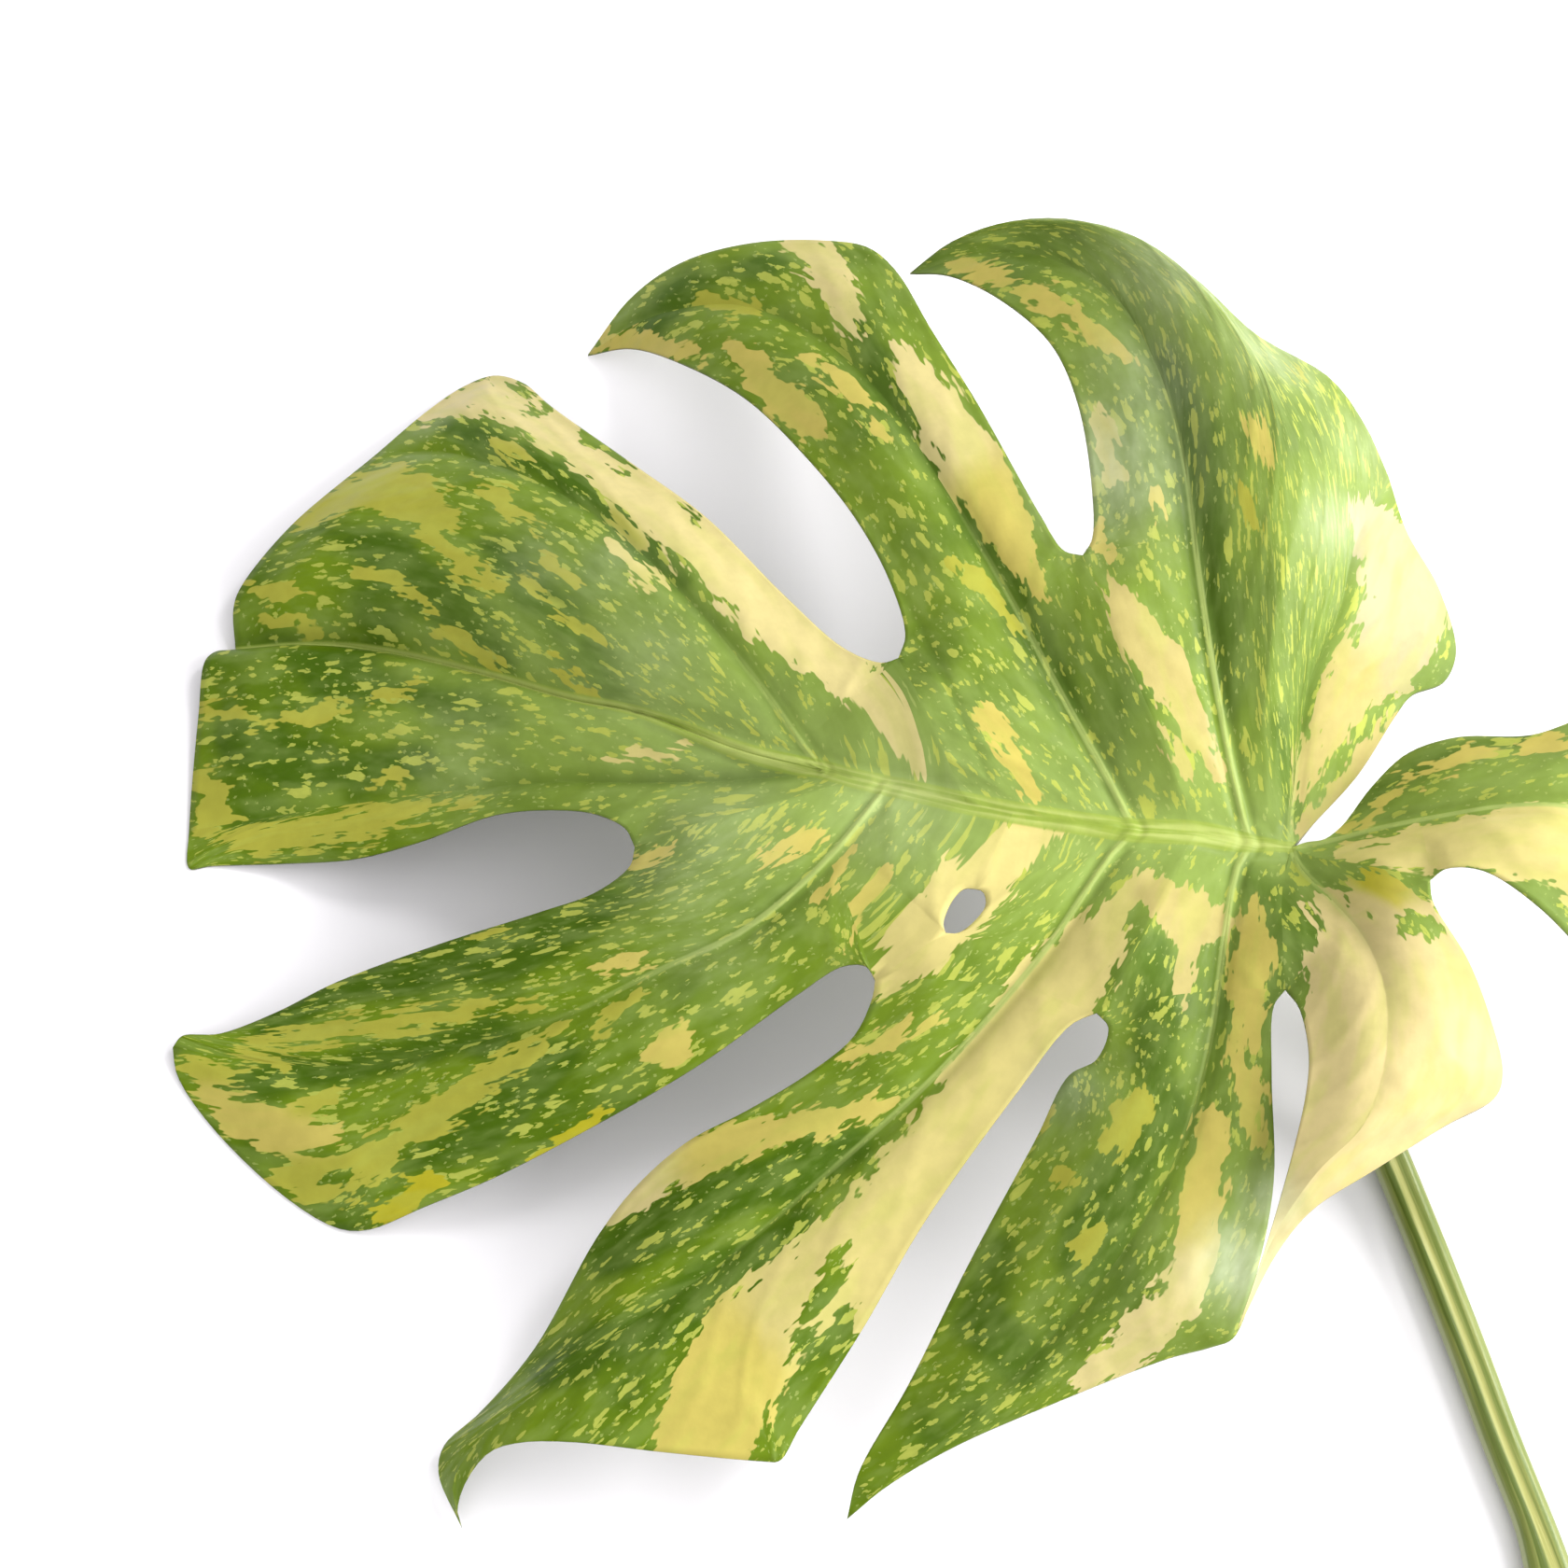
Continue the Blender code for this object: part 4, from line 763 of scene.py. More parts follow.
to_seat = np.linalg.norm(top - place([STALK_SEAT])[0], axis=1)
boss = MIDRIB_DEPTH * fall(to_seat, SEAT_BOSS_RADIUS, 4)
thickness = LAMINA_THICKNESS / np.clip(normals[:, 2], STEEPEST, 1.0)
bottom = top.copy()
bottom[:, 2] -= thickness + np.maximum(np.maximum(midrib_keel, side_keel), boss)
bottom[:, 2] = np.maximum(bottom[:, 2], 0.0)
top[:, 2] = np.maximum(top[:, 2], bottom[:, 2] + thickness)
crest_half = MIDRIB_CREST_HALF[0] + (MIDRIB_CREST_HALF[1] - MIDRIB_CREST_HALF[0]) * midrib_share
midrib_crest = MIDRIB_CREST * midrib_taper * fall(to_midrib, crest_half)
side_crest = rib_strength * SIDE_CREST * side_taper * fall(to_side, SIDE_CREST_HALF)
creased = (1 - rib_strength) * side_taper * fall(to_side, CREASE_HALF)
for fold in MINOR_FOLDS:
    folded = unit(inside_streak(board[:, :2], fold) / MINOR_FOLD_EDGE)
    creased = np.maximum(creased, folded)
grooves = np.maximum(fall(to_side - GROOVE_AT, GROOVE_HALF),
                     fall(to_midrib - crest_half - MIDRIB_GROOVE_GAP, GROOVE_HALF))
grooves *= GROOVE_DEPTH * np.minimum(side_taper, midrib_taper)
grooves = np.maximum(grooves, CREASE_DEPTH * creased) * rim_fade
grooves *= np.where(group == "near5", NEAR5_CREASE, 1.0)
top[:, 2] += np.maximum(midrib_crest, side_crest) - grooves
bottom[:, 2] = np.maximum(np.minimum(bottom[:, 2], top[:, 2] - thickness), 0.0)

# One closed sheet: the upper face, the lower face turned over, and a thin wall round the rims.
size = len(top)
ends = np.concatenate([faces[:, [0, 1]], faces[:, [1, 2]], faces[:, [2, 0]]])
end_grain = np.concatenate([face_grain[:, [0, 1]], face_grain[:, [1, 2]], face_grain[:, [2, 0]]])
keys = ends[:, 0].astype(np.int64) * size + ends[:, 1]
alone = ~np.isin(keys, ends[:, 1].astype(np.int64) * size + ends[:, 0])
rim = ends[alone]
rim_grain = end_grain[alone]
wall = np.concatenate([np.stack([rim[:, 0], rim[:, 0] + size, rim[:, 1] + size], -1),
                       np.stack([rim[:, 0], rim[:, 1] + size, rim[:, 1]], -1)])
wall_grain = np.concatenate([rim_grain[:, [0, 0, 1]], rim_grain[:, [0, 1, 1]]])
all_points = np.concatenate([top, bottom])
all_faces = np.concatenate([faces, faces[:, ::-1] + size, wall])
all_grain = np.concatenate([face_grain, face_grain[:, ::-1], wall_grain])


def surface_mesh(name, points, face_indices, corner_grain, values):
    """A smooth-shaded mesh from whole arrays: points in millimetres, triangles, a grain map at
    each triangle's corners, and named values or colours at each point."""
    mesh = bpy.data.meshes.new(name)
    mesh.vertices.add(len(points))
    mesh.vertices.foreach_set("co", (np.asarray(points) * MM).astype(np.float32).ravel())
    mesh.loops.add(face_indices.size)
    mesh.loops.foreach_set("vertex_index", face_indices.astype(np.int32).ravel())
    mesh.polygons.add(len(face_indices))
    starts = np.arange(0, face_indices.size, 3, dtype=np.int32)
    mesh.polygons.foreach_set("loop_start", starts)
    mesh.update(calc_edges=True)
    grain_map = mesh.uv_layers.new(name="grain")
    grain_map.data.foreach_set("uv", corner_grain.astype(np.float32).ravel())
    for key, value in values.items():
        value = np.asarray(value, np.float32)
        if value.ndim == 1:
            layer = mesh.attributes.new(key, "FLOAT", "POINT")
            layer.data.foreach_set("value", value)
        else:
            layer = mesh.attributes.new(key, "FLOAT_COLOR", "POINT")
            opaque = np.ones((len(value), 1), np.float32)
            layer.data.foreach_set("color", np.concatenate([value, opaque], axis=1).ravel())
    mesh.shade_smooth()
    mesh.validate()
    return mesh


mark_depth, mark_tint = leaf_marks(board[:, :2], group)
# Painted sheen: paler towards the right and near the midrib.
painted_sheen = unit((board[:, 0] + PAINTED_SHEEN_SLANT * board[:, 1] - PAINTED_SHEEN_FROM) / PAINTED_SHEEN_SPAN)
painted_sheen_end = unit(PAINTED_SHEEN_END_SLOPE * (PAINTED_SHEEN_END - midrib_share))
painted_sheen = np.maximum(painted_sheen, fall(to_midrib, PAINTED_SHEEN_REACH) * painted_sheen_end)
# Painted reflections: whitish spots laid on the colour where the light's sheen shows.
painted_reflection = np.zeros(len(board))
for across, upwards, radius, share in PAINTED_REFLECTION_SPOTS:
    off = np.hypot(board[:, 0] - across, board[:, 1] - upwards)
    painted_reflection = np.maximum(painted_reflection, share * fall(off, radius))
deep = np.zeros(len(board))
for band in DEEP_BANDS:
    inside = inside_streak(board[:, :2], band)
    deep = np.maximum(deep, unit(0.5 + inside / DEEP_SOFTNESS))
leaf_values = {
    "mark_depth": np.clip(mark_depth, -DEEPEST_MARK, DEEPEST_MARK), "mark_tint": mark_tint,
    "to_midrib": np.clip(to_midrib, 0.0, FAR_FROM_RIB), "midrib_share": midrib_share,
    "to_side": np.clip(to_side, 0.0, FAR_FROM_RIB), "side_share": side_share,
    "rib_strength": rib_strength, "creased": creased, "painted_sheen": painted_sheen, "deep": deep, "painted_reflection": painted_reflection,
}
leaf_values = {key: np.concatenate([value, value]) for key, value in leaf_values.items()}
leaf_values["under"] = np.repeat([0.0, 1.0], size)
blade_mesh = surface_mesh("leaf_sheet", all_points, all_faces, all_grain, leaf_values)
blade = put("leaf_sheet", blade_mesh)

# The leaf's finish: waxy skin over cells, three greens in streaks that follow the grain, flecks,
# the pale patches with ragged edges, and painted light: a painted sheen, whitish painted
# reflections, and painted shade in the creases and on the midrib's flanks. Each range is where a
# mask begins and is full.
DEEP_GREEN = (0.066, 0.138, 0.000)
MID_GREEN = (0.168, 0.268, 0.006)
SOFT_GREEN = (0.340, 0.450, 0.118)
FLECK_YELLOW = (0.500, 0.550, 0.090)
SPECK_PALE = (0.520, 0.600, 0.170)
RIB_GREEN = (0.490, 0.570, 0.150)
# The rib's darker green: its streaks, and also the painted shade on the midrib's flanks.
RIB_DARK_GREEN_AND_SHADE = (0.300, 0.400, 0.055)
SIDE_RIB_GREEN = (0.440, 0.540, 0.150)
# The dark colour of the painted shade in the creases.
PAINTED_CREASE_SHADE = (0.080, 0.150, 0.008)
UNDER_GREEN = (0.130, 0.150, 0.090)
# The whitish colour of the painted reflections.
PAINTED_REFLECTION_WHITE = (0.700, 0.780, 0.500)
GRAIN_TURN = math.radians(83.0)
LATERAL_TURN = math.radians(52.0)
BROAD_SCALE = 38.0
DEEP_DARKENING = -0.34
LIGHTNESS_RANGE = (0.24, 0.60)

# Noise along the grain: length and width of its blotches in millimetres, detail, and offset.
STREAK_NOISE = {
    "bands": (18.0, 6.0, 2.0, 31.0), "clouds": (7.0, 3.0, 2.0, 57.0),
    "ragged": (9.0, 3.4, 2.0, 151.0), "ragged_fine": (3.6, 1.3, 1.0, 197.0),
}

# The softer green's layers: which noise, its range and the layer's strength.
SOFT_LAYERS = [("bands", 0.42, 0.72, 0.25), ("clouds", 0.45, 0.70, 0.14)]

# The flecks: length and width of a cell in millimetres, share of the cells that are filled,
# reach, offset, strength and colour.
FLECK_LAYERS = [(1.9, 1.2, 0.28, 0.30, 19.0, 0.40, SPECK_PALE),
    (3.9, 1.6, 0.36, 0.42, 67.0, 0.80, FLECK_YELLOW),
    (8.6, 3.2, 0.24, 0.40, 113.0, 0.90, FLECK_YELLOW)]

# Pairs below are a mask's range, or a line's start and slope.
PAINTED_SHEEN_SHARE = (0.68, -0.36)
EDGE_WANDER = {"ragged": 8.5, "ragged_fine": 3.2}
PATCH_RANGE = (-0.2, 0.3)
STAIN_RANGE = (0.42, 0.70)
STAIN_SHARE = 0.28
SIDE_LINE_HALF = (0.75, -0.5)
SIDE_LINE_RANGE = (-0.25, 0.25)
SIDE_LINE_SHARE = 0.8
PAINTED_CREASE_SHADE_SHARE = (0.55, -0.40)
MIDRIB_LINE_HALF = (2.9, -2.0)
MIDRIB_SEAT = (0.45, 0.55)
MIDRIB_SEAT_END = 0.07
MIDRIB_LINE_RANGE = (-0.35, 0.3)
MIDRIB_LINE_SHARE = 0.92
RIB_STREAKS = (0.8, 9.0)
RIB_STREAK_RANGE = (0.30, 0.55)
RIB_FLANK_SHADE_RANGE = (0.40, 0.95)
RIB_FLANK_SHADE_SHARE = 0.85
PAINTED_REFLECTION_SHARE = (0.35, 0.8)
UNDER_SHARE = 0.85
SKIN_CELL = 0.0012
MOTTLE_RANGE = (0.3, 0.7)
SKIN_SHADE = (0.75, 0.06)
SKIN_ROUGHNESS = (0.33, 0.10)
UNDER_ROUGHNESS = 0.25
SHEEN = 0.12
LATERAL_SIZE = (60.0, 11.0, 1.0)
LATERAL_WAVES = {"Scale": 0.3183, "Distortion": 1.4, "Detail": 2.0, "Detail Scale": 1.2}
LATERAL_SHARPNESS = 3.0
LATERAL_HEIGHT = 0.8
SKIN_HEIGHT = 0.10
FIBRE_HEIGHT = 0.25


def calc(tree, operation, *values):
    """The result of one arithmetic operation on numbers or sockets."""
    return add(tree, "Math", {"operation": operation}, dict(enumerate(values))).outputs[0]


def times(tree, value, factor):
    """The value times the factor."""
    return calc(tree, "MULTIPLY", value, factor)


def sloped(tree, value, line):
    """The line's start, plus its slope times the value."""
    start, slope = line
    return calc(tree, "MULTIPLY_ADD", value, slope, start)


def rise(tree, value, low, high):
    """0 up to low, 1 from high on, and a smooth rise between."""
    return add(tree, "MapRange", {"interpolation_type": "SMOOTHSTEP"},
               {"Value": value, "From Min": low, "From Max": high}).outputs["Result"]


def line_mask(tree, distance, half, span):
    """1 on a line out to its half width, falling to 0 over the span of distances round that."""
    return calc(tree, "SUBTRACT", 1.0, rise(tree, calc(tree, "SUBTRACT", distance, half), *span))


def blend(tree, share, under, over):
    """The colour under, with the share of the colour over laid on it."""
    under = under if isinstance(under, bpy.types.NodeSocket) else (*under, 1.0)
    over = over if isinstance(over, bpy.types.NodeSocket) else (*over, 1.0)
    return add(tree, "Mix", {"data_type": "RGBA"}, {0: share, 6: under, 7: over}).outputs[2]


def held(tree, name, output="Fac"):
    """What the mesh holds at each point under this name."""
    return add(tree, "Attribute", {"attribute_name": name}, {}).outputs[output]


def noise(tree, place, scale, detail, sides="2D", roughness=0.5, output="Fac"):
    """Soft noise over a place."""
    return add(tree, "TexNoise", {"noise_dimensions": sides},
               {"Vector": place, "Scale": scale, "Detail": detail,
                "Roughness": roughness}).outputs[output]


def stretched(tree, place, size, turn=0.0, offset=0.0):
    """A place turned, moved and counted in cells of the given size."""
    return add(tree, "Mapping", {"vector_type": "TEXTURE"},
               {"Vector": place, "Location": (offset, offset, 0.0), "Rotation": (0.0, 0.0, turn),
                "Scale": size}).outputs[0]


def streaks(tree, grain_map, length, width, detail, offset):
    """Noise drawn out along the grain."""
    spot = stretched(tree, grain_map, (length, width, 1.0), GRAIN_TURN, offset)
    return noise(tree, spot, 1.0, detail, roughness=0.55)


def flecks(tree, grain_map, length, width, filled, reach, offset):
    """Separate dashes along the grain: in a share of the cells, the points nearer to the cell's
    own middle than its reach, which differs from cell to cell; the edges wander a little."""
    spot = stretched(tree, grain_map, (length, width, 1.0), GRAIN_TURN, offset)
    wobble = noise(tree, spot, 1.7, 2.0, output="Color")
    centred = add(tree, "VectorMath", {"operation": "SUBTRACT"},
                  {0: wobble, 1: (0.5, 0.5, 0.5)}).outputs[0]
    moved = add(tree, "VectorMath", {"operation": "MULTIPLY_ADD"},
                {0: centred, 1: (0.9, 0.9, 0.0), 2: spot}).outputs[0]
    cell = add(tree, "TexVoronoi", {"voronoi_dimensions": "2D"}, {"Vector": moved, "Scale": 1.0})
    chance = add(tree, "SeparateColor", {}, {"Color": cell.outputs["Color"]})
    size = sloped(tree, chance.outputs[0], (0.4 * reach, 0.6 * reach))
    inside = rise(tree, calc(tree, "SUBTRACT", size, cell.outputs["Distance"]), 0.0, 0.06)
    return times(tree, inside, calc(tree, "LESS_THAN", chance.outputs[1], filled))


# The skin shared by blade and stalk: rounded cells, with finer grains between them.
skin = bpy.data.node_groups.new("plant_skin", "ShaderNodeTree")
skin.interface.new_socket("Cell Size", in_out="INPUT", socket_type="NodeSocketFloat")
skin.interface.new_socket("Height", in_out="OUTPUT", socket_type="NodeSocketFloat")
skin.interface.new_socket("Mottle", in_out="OUTPUT", socket_type="NodeSocketFloat")
skin_in = skin.nodes.new("NodeGroupInput")
skin_out = skin.nodes.new("NodeGroupOutput")
skin_place = add(skin, "TexCoord", {}, {}).outputs["Object"]
per_metre = calc(skin, "DIVIDE", 1.0, skin_in.outputs["Cell Size"])
cells = add(skin, "TexVoronoi", {}, {"Vector": skin_place, "Scale": per_metre}).outputs["Distance"]
grains = noise(skin, skin_place, times(skin, per_metre, 0.35), 4.0, "3D")
skin.links.new(calc(skin, "ADD", times(skin, cells, -0.5), grains), skin_out.inputs["Height"])
skin.links.new(grains, skin_out.inputs["Mottle"])

tree, shader = new_finish("leaf_variegated", blade_mesh)
grain_map = add(tree, "UVMap", {"uv_map": "grain"}, {}).outputs[0]
place_in_leaf = add(tree, "TexCoord", {}, {}).outputs["Object"]
blotches = {name: streaks(tree, grain_map, *cell) for name, cell in STREAK_NOISE.items()}
held_at = {name: held(tree, name) for name in leaf_values if name != "mark_tint"}

broad = noise(tree, place_in_leaf, BROAD_SCALE, 2.0, "3D")
lightness = sloped(tree, held_at["deep"], (broad, DEEP_DARKENING))
green = blend(tree, rise(tree, lightness, *LIGHTNESS_RANGE), DEEP_GREEN, MID_GREEN)
for name, low, high, strength in SOFT_LAYERS:
    share = times(tree, rise(tree, blotches[name], low, high), strength)
    green = blend(tree, share, green, SOFT_GREEN)
# Painted sheen: the softer green laid on towards the right and along the midrib, less where the
# green is deepest.
painted_sheen_share = times(tree, held_at["painted_sheen"], sloped(tree, held_at["deep"], PAINTED_SHEEN_SHARE))
green = blend(tree, painted_sheen_share, green, SOFT_GREEN)
for *cell, strength, colour in FLECK_LAYERS:
    green = blend(tree, times(tree, flecks(tree, grain_map, *cell), strength), green, colour)

patch_depth = held_at["mark_depth"]
for name, wander in EDGE_WANDER.items():
    off_centre = calc(tree, "SUBTRACT", blotches[name], 0.5)
    patch_depth = sloped(tree, off_centre, (patch_depth, wander))
patch_share = rise(tree, patch_depth, *PATCH_RANGE)
stain_share = times(tree, rise(tree, blotches["bands"], *STAIN_RANGE), STAIN_SHARE)
patch_colour = blend(tree, stain_share, held(tree, "mark_tint", "Color"), FLECK_YELLOW)
surface = blend(tree, patch_share, green, patch_colour)

side_half = sloped(tree, held_at["side_share"], SIDE_LINE_HALF)
side_line = line_mask(tree, held_at["to_side"], side_half, SIDE_LINE_RANGE)
side_line_share = times(tree, side_line, times(tree, held_at["rib_strength"], SIDE_LINE_SHARE))
# Painted shade: the creases and minor folds darkened, less inside the pale patches.
painted_crease_shade_share = times(tree, held_at["creased"], sloped(tree, patch_share, PAINTED_CREASE_SHADE_SHARE))
surface = blend(tree, painted_crease_shade_share, surface, PAINTED_CREASE_SHADE)
surface = blend(tree, side_line_share, surface, SIDE_RIB_GREEN)
from_seat = rise(tree, held_at["midrib_share"], 0.0, MIDRIB_SEAT_END)
midrib_half = times(tree, sloped(tree, held_at["midrib_share"], MIDRIB_LINE_HALF),
                    sloped(tree, from_seat, MIDRIB_SEAT))
midrib_mask = line_mask(tree, held_at["to_midrib"], midrib_half, MIDRIB_LINE_RANGE)
rib_place = add(tree, "CombineXYZ", {}, {"X": times(tree, held_at["to_midrib"], RIB_STREAKS[0]),
                                         "Y": times(tree, held_at["midrib_share"], RIB_STREAKS[1])})
rib_streak = noise(tree, rib_place.outputs[0], 1.0, 3.0)
rib_colour = blend(tree, rise(tree, rib_streak, *RIB_STREAK_RANGE), RIB_DARK_GREEN_AND_SHADE, RIB_GREEN)
# Painted shade: the midrib darkens towards both its edges.
rib_flank_shade = rise(tree, calc(tree, "DIVIDE", held_at["to_midrib"], midrib_half), *RIB_FLANK_SHADE_RANGE)
rib_colour = blend(tree, times(tree, rib_flank_shade, RIB_FLANK_SHADE_SHARE), rib_colour, RIB_DARK_GREEN_AND_SHADE)
surface = blend(tree, times(tree, midrib_mask, MIDRIB_LINE_SHARE), surface, rib_colour)
# Painted reflections: the whitish spots laid over every colour, patchy with the clouds noise.
painted_reflection_share = times(tree, held_at["painted_reflection"], sloped(tree, blotches["clouds"], PAINTED_REFLECTION_SHARE))
surface = blend(tree, painted_reflection_share, surface, PAINTED_REFLECTION_WHITE)
surface = blend(tree, times(tree, held_at["under"], UNDER_SHARE), surface, UNDER_GREEN)

skin_node = add(tree, "Group", {"node_tree": skin}, {"Cell Size": SKIN_CELL})
mottle = rise(tree, skin_node.outputs["Mottle"], *MOTTLE_RANGE)
shade = sloped(tree, mottle, SKIN_SHADE)
shade = add(tree, "CombineColor", {}, {0: shade, 1: shade, 2: shade}).outputs[0]
final_colour = add(tree, "Mix", {"data_type": "RGBA", "blend_type": "MULTIPLY"},
                   {0: 1.0, 6: surface, 7: shade})
tree.links.new(final_colour.outputs[2], shader.inputs["Base Color"])
roughness = sloped(tree, mottle, SKIN_ROUGHNESS)
roughness = sloped(tree, held_at["under"], (roughness, UNDER_ROUGHNESS))
tree.links.new(roughness, shader.inputs["Roughness"])
shader.inputs["Specular IOR Level"].default_value = SHEEN

# The fine relief: the small veins that leave the side ribs at a slant, fibres and skin cells.
laterals = stretched(tree, grain_map, LATERAL_SIZE, LATERAL_TURN)
waves = add(tree, "TexWave", {"wave_type": "BANDS", "bands_direction": "Y"},
            {"Vector": laterals, **LATERAL_WAVES})
height = times(tree, calc(tree, "POWER", waves.outputs["Fac"], LATERAL_SHARPNESS), LATERAL_HEIGHT)
height = sloped(tree, skin_node.outputs["Height"], (height, SKIN_HEIGHT))
height = sloped(tree, blotches["clouds"], (height, FIBRE_HEIGHT))
bump = add(tree, "Bump", {}, {"Strength": 0.5, "Distance": 0.0004, "Height": height})
tree.links.new(bump.outputs[0], shader.inputs["Normal"])
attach(blade, "root")
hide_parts("leaf_blade")

# The stalk: a firm juicy stem that leaves the blade's underside, bends over at its knee and
# lies along the table to its cut end, with a channel on top and the start of its sheath.
STALK_LINE = [(110, -23, 35), (113.5, -36, 26), (118.5, -50, 18), (124.5, -67, 10),
    (132.2, -85.5, 4.3), (139.7, -104, 3.6), (146.7, -122, 3.6), (153.2, -139.5, 3.6),
    (158.2, -152, 3.6), (162.2, -162, 3.6), (167.2, -176, 3.6), (171.2, -190, 3.6)]
STALK_DROP = 4.5
STALK_RADIUS = 4.1
STALK_KNEE_RADIUS = 4.9
STALK_KNEE_LENGTH = 26.0
STALK_SIDES = 72
STALK_RINGS = 220
SHEATH_LENGTH = 34.0
SHEATH_REACH = 7.0
CHANNEL_DEPTH = 0.9
CHANNEL_HALF_ANGLE = 0.42
CUT_ROUNDING = 0.08
CAP_SHARES = (0.93, 0.5, 0.0)
STEEP_HEADING = 0.02
SHEATH_FLARE = 1.5
STALK_SKIN = (0.135, 0.180, 0.022)
STALK_DARK = (0.075, 0.110, 0.004)
STALK_YELLOW = (0.345, 0.345, 0.095)
STALK_RIM = (0.360, 0.400, 0.190)
CUT_FLESH = (0.620, 0.640, 0.360)
FIBRE_SIZE = (0.9, 26.0, 1.0)
FIBRE_RANGE = (0.35, 0.7)
FIBRE_SHARE = 0.35
UPPER_RANGE = (-0.2, 0.3)
STRIPE_CENTRE = (0.22, -0.25)
STRIPE_RANGE = (0.10, 0.26)
DARK_OFFSET = 0.38
DARK_RANGE = (0.08, 0.24)
STRIPE_WANDER = 0.35
RIM_RANGE = (0.86, 0.94)
RIM_SHARE = 0.8
STALK_CELL = 0.0009
STALK_ROUGHNESS = (0.28, 0.15)
STALK_FIBRE_HEIGHT = 0.6
STALK_SKIN_HEIGHT = 0.15

seat = place([STALK_SEAT])[0] - np.array([0.0, 0.0, BLADE_THICKNESS + MIDRIB_DEPTH])
path = np.concatenate([[seat, seat - np.array([0.0, 0.0, STALK_DROP])], place(STALK_LINE)])
middle = read_curve(path, np.linspace(0.0, 1.0, STALK_RINGS + 1))
stalk_run = travelled(middle)
forward = np.gradient(middle, axis=0)
forward[0] = (0.0, 0.0, -1.0)
forward /= np.linalg.norm(forward, axis=1)[:, None]
heading = (middle[-1] - middle[0]) * [1.0, 1.0, 0.0]
heading /= np.linalg.norm(heading)
level = forward * [1.0, 1.0, 0.0] + STEEP_HEADING * heading
side = np.cross(level, [0.0, 0.0, 1.0])
side /= np.linalg.norm(side, axis=1)[:, None]
up = np.cross(side, forward)
angle = np.linspace(0.0, 2 * math.pi, STALK_SIDES + 1)
knee = fall(stalk_run, STALK_KNEE_LENGTH)
radius = (STALK_RADIUS + (STALK_KNEE_RADIUS - STALK_RADIUS) * knee)[:, None]
sheath = unit((stalk_run - stalk_run[-1] + SHEATH_LENGTH) / SHEATH_LENGTH)[:, None]
across = np.cos(angle)[None, :] * radius
across = across + SHEATH_REACH * sheath ** SHEATH_FLARE * unit(np.cos(angle))[None, :]
channel = CHANNEL_DEPTH * fall(angle - math.pi / 2, CHANNEL_HALF_ANGLE)[None, :]
lift = np.sin(angle)[None, :] * radius - channel * (1 - knee[:, None])
rings = middle[:, None, :] + across[..., None] * side[:, None, :] + lift[..., None] * up[:, None, :]
rings[..., 2] = np.maximum(rings[..., 2], 0.0)


def end_cap(ring, shares):
    """The ring drawn in to each share of its size round its own middle point."""
    centre = ring.mean(axis=0)
    return np.stack([centre + (ring - centre) * share for share in shares])


# The ends: the rings close in three steps on a middle point, the first step a small rounding.
first_cap = end_cap(rings[0], CAP_SHARES[::-1])
last_cap = end_cap(rings[-1], CAP_SHARES) + forward[-1] * CUT_ROUNDING
last_cap[..., 2] = np.maximum(last_cap[..., 2], 0.0)
stalk_grid = np.concatenate([first_cap, rings, last_cap])
stalk_rows, stalk_columns = stalk_grid.shape[:2]
run = np.concatenate([np.zeros(3), stalk_run, np.full(3, stalk_run[-1])])
stalk_flow = np.stack(np.broadcast_arrays(angle[None, :] * STALK_RADIUS, run[:, None]), -1)
stalk_triangles = grid_triangles(0, stalk_rows, stalk_columns)[:, ::-1]
stalk_points, first, stalk_faces, whole = weld(stalk_grid.reshape(-1, 3), stalk_triangles, 5)
turned_by = np.broadcast_to(angle[None, :], (stalk_rows, stalk_columns)).reshape(-1)
cut = np.zeros((stalk_rows, stalk_columns))
cut[:3] = cut[-3:] = 1.0
stalk_values = {
    "turn_cos": np.cos(turned_by)[first],
    "turn_sin": np.sin(turned_by)[first],
    "run": np.repeat(run, stalk_columns)[first],
    "cut": cut.reshape(-1)[first],
}
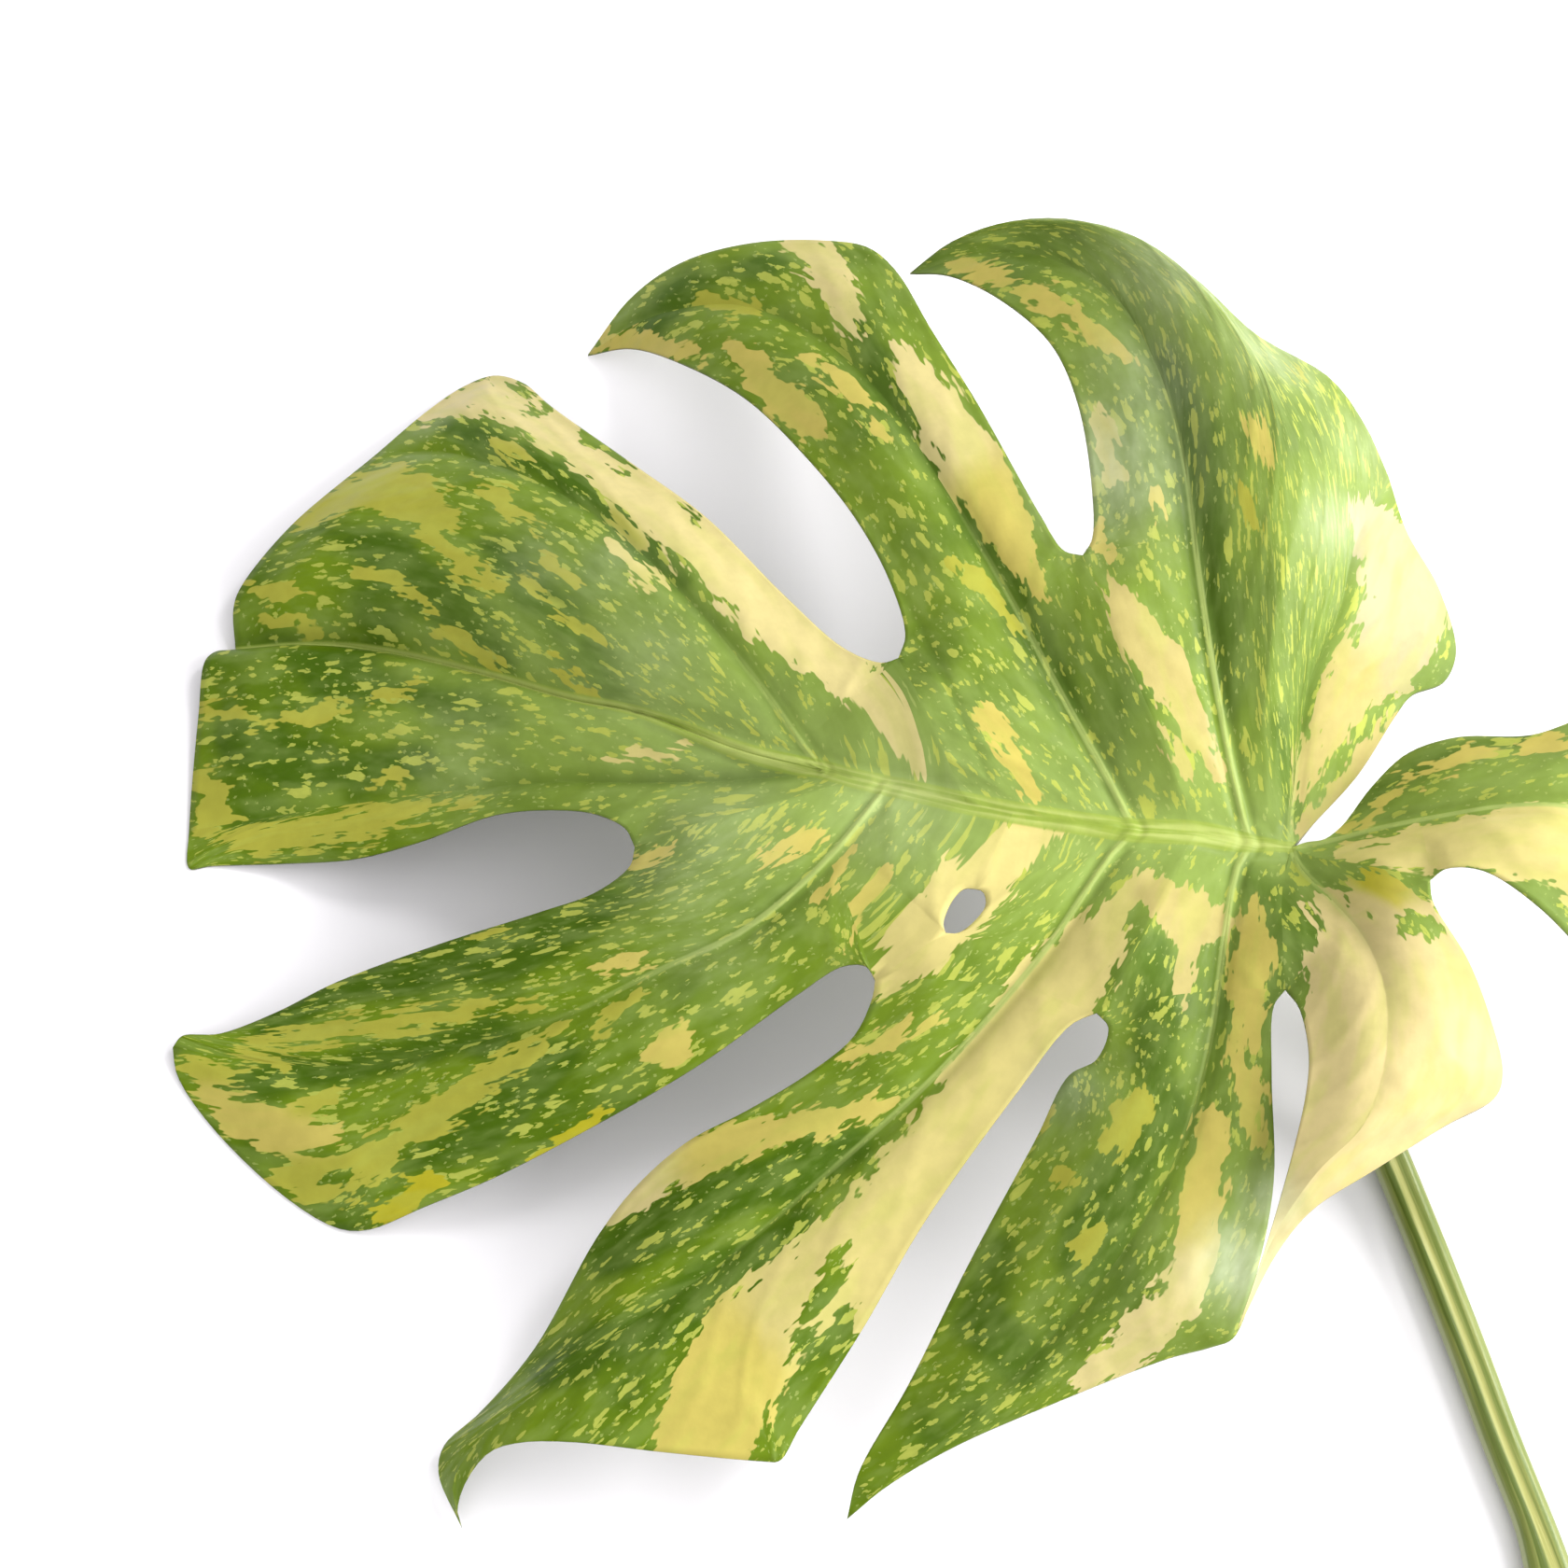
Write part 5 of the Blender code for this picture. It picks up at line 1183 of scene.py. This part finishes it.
stalk_mesh = surface_mesh("stalk", stalk_points, stalk_faces,
                          stalk_flow.reshape(-1, 2)[stalk_triangles[whole]], stalk_values)
stalk = put("stalk", stalk_mesh)

tree, shader = new_finish("petiole_green", stalk_mesh)
grain_map = add(tree, "UVMap", {"uv_map": "grain"}, {}).outputs[0]
fibres = noise(tree, stretched(tree, grain_map, FIBRE_SIZE), 1.0, 3.0)
turn_cos = held(tree, "turn_cos")
upper = rise(tree, held(tree, "turn_sin"), *UPPER_RANGE)
run_share = calc(tree, "DIVIDE", held(tree, "run"), float(stalk_run[-1]))
stripe_centre = sloped(tree, run_share, STRIPE_CENTRE)
wobble = times(tree, calc(tree, "SUBTRACT", fibres, 0.5), STRIPE_WANDER)
stripes = []
for offset, span in ((0.0, STRIPE_RANGE), (DARK_OFFSET, DARK_RANGE)):
    off = calc(tree, "SUBTRACT", turn_cos, calc(tree, "ADD", stripe_centre, offset))
    off = calc(tree, "ADD", calc(tree, "ABSOLUTE", off), wobble)
    stripes.append(times(tree, line_mask(tree, off, 0.0, span), upper))
fibre_share = times(tree, rise(tree, fibres, *FIBRE_RANGE), FIBRE_SHARE)
stem = blend(tree, fibre_share, STALK_SKIN, STALK_YELLOW)
stem = blend(tree, stripes[1], stem, STALK_DARK)
stem = blend(tree, stripes[0], stem, STALK_YELLOW)
stem = blend(tree, times(tree, rise(tree, turn_cos, *RIM_RANGE), RIM_SHARE), stem, STALK_RIM)
stem = blend(tree, held(tree, "cut"), stem, CUT_FLESH)
tree.links.new(stem, shader.inputs["Base Color"])
stalk_skin = add(tree, "Group", {"node_tree": skin}, {"Cell Size": STALK_CELL})
roughness = sloped(tree, stalk_skin.outputs["Mottle"], STALK_ROUGHNESS)
tree.links.new(roughness, shader.inputs["Roughness"])
stalk_height = sloped(tree, stalk_skin.outputs["Height"],
                      (times(tree, fibres, STALK_FIBRE_HEIGHT), STALK_SKIN_HEIGHT))
bump = add(tree, "Bump", {}, {"Strength": 0.4, "Distance": 0.0005, "Height": stalk_height})
tree.links.new(bump.outputs[0], shader.inputs["Normal"])
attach(stalk, "root")
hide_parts("petiole")
